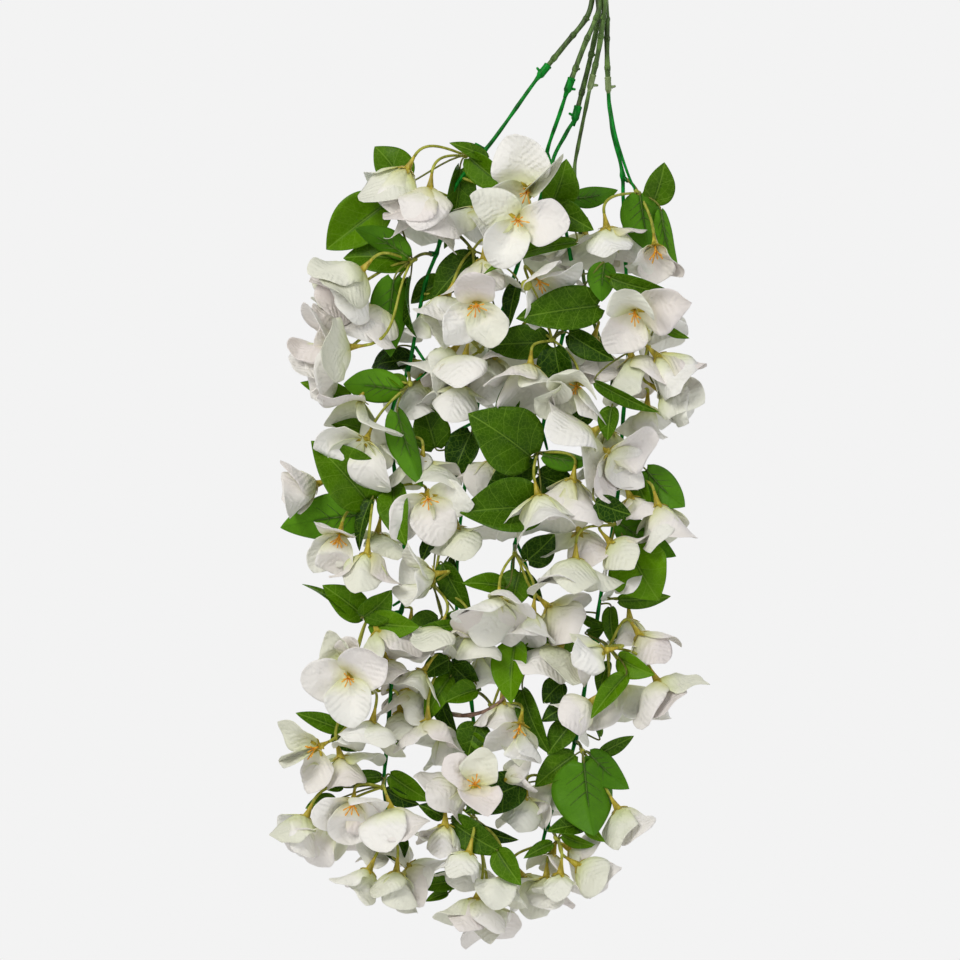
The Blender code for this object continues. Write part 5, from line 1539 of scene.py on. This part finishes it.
# ---------------------------------------------------------------- sprigs
@dataclass
class Sprig:
    """A cluster's twig with everything that it carries."""

    cluster: Cluster
    vines: dict[int, np.ndarray]
    finishes: Finishes
    bloom_maker: BloomMaker = field(default_factory=BloomMaker)
    leaf_maker: LeafMaker = field(default_factory=LeafMaker)
    twig_radius: float = 1.25 * MM
    knuckle_radii: tuple[float, ...] = (1.3, 1.75, 1.9, 1.75, 2.1, 2.45, 2.3, 1.8, 0.9)
    bare_radius: float = 1.9 * MM
    bud_radius: float = 4.6 * MM
    bud_stalk_radius: float = 0.9 * MM
    hub_reach: float = 26.0 * MM
    hub_favour: float = 1.6
    climb_cost: float = 0.5
    twig_points: int = 12

    @property
    def hub(self) -> np.ndarray:
        """Where the twig ends and stalks and petioles begin."""
        return place(*self.cluster.hub)

    def foot_for(self, end: np.ndarray) -> np.ndarray:
        """Where a stalk or a petiole that ends there starts: the hub, or a vine's point that is much nearer.

        Args:
            end: where it ends.

        Returns:
            The point that it grows from.
        """
        routes = np.vstack(list(self.vines.values()))
        climb = np.maximum(end[2] - routes[:, 2], 0.0)
        cost = np.linalg.norm(routes - end, axis=1) + self.climb_cost * climb
        nearest = routes[np.argmin(cost)]
        from_hub, from_vine = np.linalg.norm(end - self.hub), np.linalg.norm(end - nearest)
        return self.hub if from_hub < max(self.hub_favour * from_vine, self.hub_reach) else nearest

    def add_twig(self, buffer: MeshBuffer, stalks: MeshBuffer) -> None:
        """Adds the twig: an arch from the peg to the hub, and a swollen knuckle there.

        Args:
            buffer: where the twig goes.
            stalks: where the knuckle goes, which is moulded with the stalks.
        """
        joint = at_drop(self.vines[self.cluster.vine], self.cluster.grip)
        chord = self.hub - joint
        lift = UP * 0.12 * np.linalg.norm(chord)
        start, rising, level = (joint + chord * share for share in (0.2, 0.45, 0.75))
        line = bezier(start, rising + lift, level + lift, self.hub, self.twig_points)
        buffer.add_tube(line, self.twig_radius * np.linspace(1.15, 1.0, self.twig_points), 9, finish=1)
        stalks.add_peg(self.hub, unit(chord), (-5.0, 3.6), list(self.knuckle_radii), 10)

    def add_bare_twig(self, buffer: MeshBuffer, knots: tuple[Point, ...]) -> None:
        """Adds a mauve-brown twig through its knots, thinner toward the end.

        Args:
            buffer: where it goes.
            knots: the points that it passes.
        """
        path = smooth_route([place(*knot) for knot in knots], ROUTE_STEP)
        along = np.linspace(0.0, 1.0, len(path))
        radii = self.bare_radius * (1.0 - 0.35 * along + 0.08 * np.sin(23.0 * along))
        buffer.add_tube(path, radii, 10, finish=2, own=0.5)

    def add_bud(self, buffer: MeshBuffer, spot: Point) -> None:
        """Adds a round bud on a short stalk: circles about a level line that swell and shrink like a ball's.

        Args:
            buffer: where it goes.
            spot: its middle.
        """
        middle, turn = place(*spot), ring_angles(16)
        climb = np.linspace(-0.49, 0.49, 11)[:, None] * math.pi
        radius = self.bud_radius * np.cos(climb) * (1.0 + 0.04 * np.cos(5 * turn))
        upright = turned(radius, turn, 0.8 * self.bud_radius * np.sin(climb))
        rings = middle + upright[..., [0, 2, 1]] * (1, 1, -1)
        buffer.add_rings(rings[:, ::-1], rings[0].mean(axis=0), rings[-1].mean(axis=0), own=0.4)
        foot = self.foot_for(middle)
        lift = UP * 0.2 * np.linalg.norm(middle - foot)
        path = bezier(foot, foot + (middle - foot) * 0.3 + lift, middle + lift, middle, self.twig_points)
        buffer.add_tube(path, np.full(self.twig_points, self.bud_stalk_radius), 7, own=0.4)

    def build(self) -> list[tuple[bpy.types.Object, str, str]]:
        """Builds the pieces.

        Returns:
            Each piece with the CAD node that it stands for and its material slot, which may be empty.
        """
        number, finishes = self.cluster.number, self.finishes
        spray, sprig = f"flower_spray_{number:02d}", f"leaf_sprig_{number:02d}"
        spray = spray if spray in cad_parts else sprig
        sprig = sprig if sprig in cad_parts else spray
        petals, stalks, stamens, blades, ribs = (MeshBuffer() for _ in range(5))
        self.add_twig(ribs, stalks)
        for index, bloom in enumerate(self.cluster.blooms):
            draw = np.random.default_rng([number, index])
            for petal, turn in enumerate(bloom.petal_turns):
                Petal(bloom, turn, petal == bloom.pinched, draw).add_to(petals)
            self.bloom_maker.add_stalk(stalks, bloom, self.foot_for(self.bloom_maker.neck(bloom)), draw)
            self.bloom_maker.add_calyx(stalks, bloom, draw)
            if bloom.open:
                self.bloom_maker.add_stamens(stamens, bloom, draw)
        for index, leaf in enumerate(self.cluster.leaves):
            draw = np.random.default_rng([number, index, 5])
            self.leaf_maker.add_leaf(blades, ribs, leaf, self.foot_for(place(*leaf.base)), draw)
        for knots in self.cluster.bare_twigs:
            self.add_bare_twig(ribs, knots)
        for spot in self.cluster.buds:
            self.add_bud(stalks, spot)
        leaf_cloths = finishes.leaf_upper, finishes.leaf_under
        rib_plastics = finishes.rib, finishes.twig, finishes.bare_twig
        built = [
            (petals.piece(f"petals_{number:02d}", finishes.petal), spray, "petal_cloth"),
            (stalks.piece(f"stalks_{number:02d}", finishes.stalk, finishes.calyx), spray, "olive_stem"),
            (blades.piece(f"blades_{number:02d}", *leaf_cloths), sprig, "leaf_cloth"),
            (ribs.piece(f"ribs_{number:02d}", *rib_plastics), sprig, "olive_stem"),
        ]
        if stamens.points:
            built.append((stamens.piece(f"stamens_{number:02d}", finishes.stamen), spray, ""))
        return built


# ---------------------------------------------------------------- studio
@dataclass
class Studio:
    """A pale room: floor, world, lamps and camera. Lengths are in metres."""

    middle: Point = (-0.096, -0.02, -0.444)
    view_width: float = 0.768
    distance: float = 6.0
    sensor: float = 36.0
    floor_drop: float = 1.05
    floor_size: float = 2.6
    floor_paint: str = "#EDEDED"
    background: str = "#F3F3F3"
    glow: float = 1.08
    glow_share: float = 0.78
    ambient: float = 0.48

    def camera(self) -> None:
        """A level camera with a long lens, in front of the spray."""
        data = bpy.data.cameras.new("front_camera")
        data.sensor_width = self.sensor
        data.lens = self.sensor * self.distance / self.view_width
        camera = bpy.data.objects.new("front_camera", data)
        camera.location = (self.middle[0], self.middle[1] - self.distance, self.middle[2])
        camera.rotation_euler = (math.pi / 2, 0.0, 0.0)
        bpy.context.scene.collection.objects.link(camera)
        bpy.context.scene.camera = camera

    def world(self) -> None:
        """A world that shows the pale background and lights the object softly."""
        world = bpy.data.worlds.new("pale_room")
        world.use_nodes = True
        graph = Graph(world.node_tree)
        graph.tree.nodes.clear()
        lit, seen = (
            graph.node("Background", {"Color": linear(colour), "Strength": strength}).outputs[0]
            for colour, strength in (("#F6F6F6", self.ambient), (self.background, 1.0))
        )
        mix = graph.node("MixShader", {0: graph.plain_ray(), 1: lit, 2: seen}).outputs[0]
        graph.node("OutputWorld", {"Surface": mix})
        bpy.context.scene.world = world

    def floor(self) -> None:
        """A pale floor that glows toward the camera like the background and still takes the shadow."""
        half, (x, y, _) = self.floor_size / 2, self.middle
        signs = ((-1, -1), (1, -1), (1, 1), (-1, 1))
        corners = [(x + half * right, y + half * back, -self.floor_drop) for right, back in signs]
        mesh = bpy.data.meshes.new("floor")
        mesh.from_pydata(corners, [], [(0, 1, 2, 3)])
        surface = Surface("pale_floor_paint")
        surface.feed(surface.shader.inputs["Base Color"], linear(self.floor_paint))
        surface.feed(surface.shader.inputs["Roughness"], 0.8)
        glow = surface.node("Emission", {"Color": linear(self.background), "Strength": self.glow}).outputs[0]
        share = surface.math("MULTIPLY", surface.plain_ray(), self.glow_share)
        mix = surface.node("MixShader", {0: share, 1: surface.shader.outputs[0], 2: glow}).outputs[0]
        surface.feed(surface.tree.nodes["Material Output"].inputs["Surface"], mix)
        mesh.materials.append(surface.material)
        floor = bpy.data.objects.new("floor", mesh)
        bpy.context.scene.collection.objects.link(floor)

    def lamp(self, name: str, way: Point, size: float, power: float, colour: str) -> None:
        """Adds a soft square lamp aimed at the middle of the spray.

        Args:
            name: the lamp's name.
            way: where it stands from the middle, in metres.
            size: the length of its side.
            power: watts.
            colour: its colour.
        """
        data = bpy.data.lights.new(name, "AREA")
        data.shape, data.size, data.energy = "SQUARE", size, power
        data.color = linear(colour)[:3]
        lamp = bpy.data.objects.new(name, data)
        back = unit(np.array(way))
        side = unit(np.cross(UP, back))
        matrix = np.eye(4)
        matrix[:3] = np.stack([side, np.cross(back, side), back, np.array(self.middle) + way], axis=1)
        lamp.matrix_world = [tuple(row) for row in matrix.T.tolist()]
        bpy.context.scene.collection.objects.link(lamp)

    def build(self) -> None:
        """Sets up camera, world, floor and lamps."""
        self.camera()
        self.world()
        self.floor()
        self.lamp("key_lamp", (-1.3, -2.2, 1.5), 1.2, 43.0, "#FFFDF8")
        self.lamp("fill_lamp", (2.0, -1.6, 0.2), 1.8, 9.0, "#F6F8FF")
        self.lamp("back_lamp", (0.6, 2.4, 1.0), 1.8, 19.0, "#FFFFFF")
        bpy.context.scene.view_settings.view_transform = "Standard"


def main() -> None:
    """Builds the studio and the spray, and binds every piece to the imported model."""
    logging.basicConfig(level=logging.INFO, format="%(name)s: %(message)s")
    Studio().build()
    finishes = Finishes()
    hardware = Hardware(finishes)
    built = [(hardware.crown(), "crown_stub", "olive_stem")]
    built += [(hardware.stem(number), f"stem_{number}", "olive_stem") for number in STEM_ROUTES]
    built += [(hardware.vine(number), f"vine_{number}", "green_vine") for number in VINE_ROUTES]
    vines = {number: hardware.vine_path(number) for number in VINE_ROUTES}
    for cluster in CLUSTERS:
        built += Sprig(cluster, vines, finishes).build()
    for piece, node, slot in built:
        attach(piece, BODY)
        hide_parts(node)
        LOG.info("%s: %d faces, stands for %s", piece.name, len(piece.data.polygons), node)


if __name__ == "__main__":
    main()
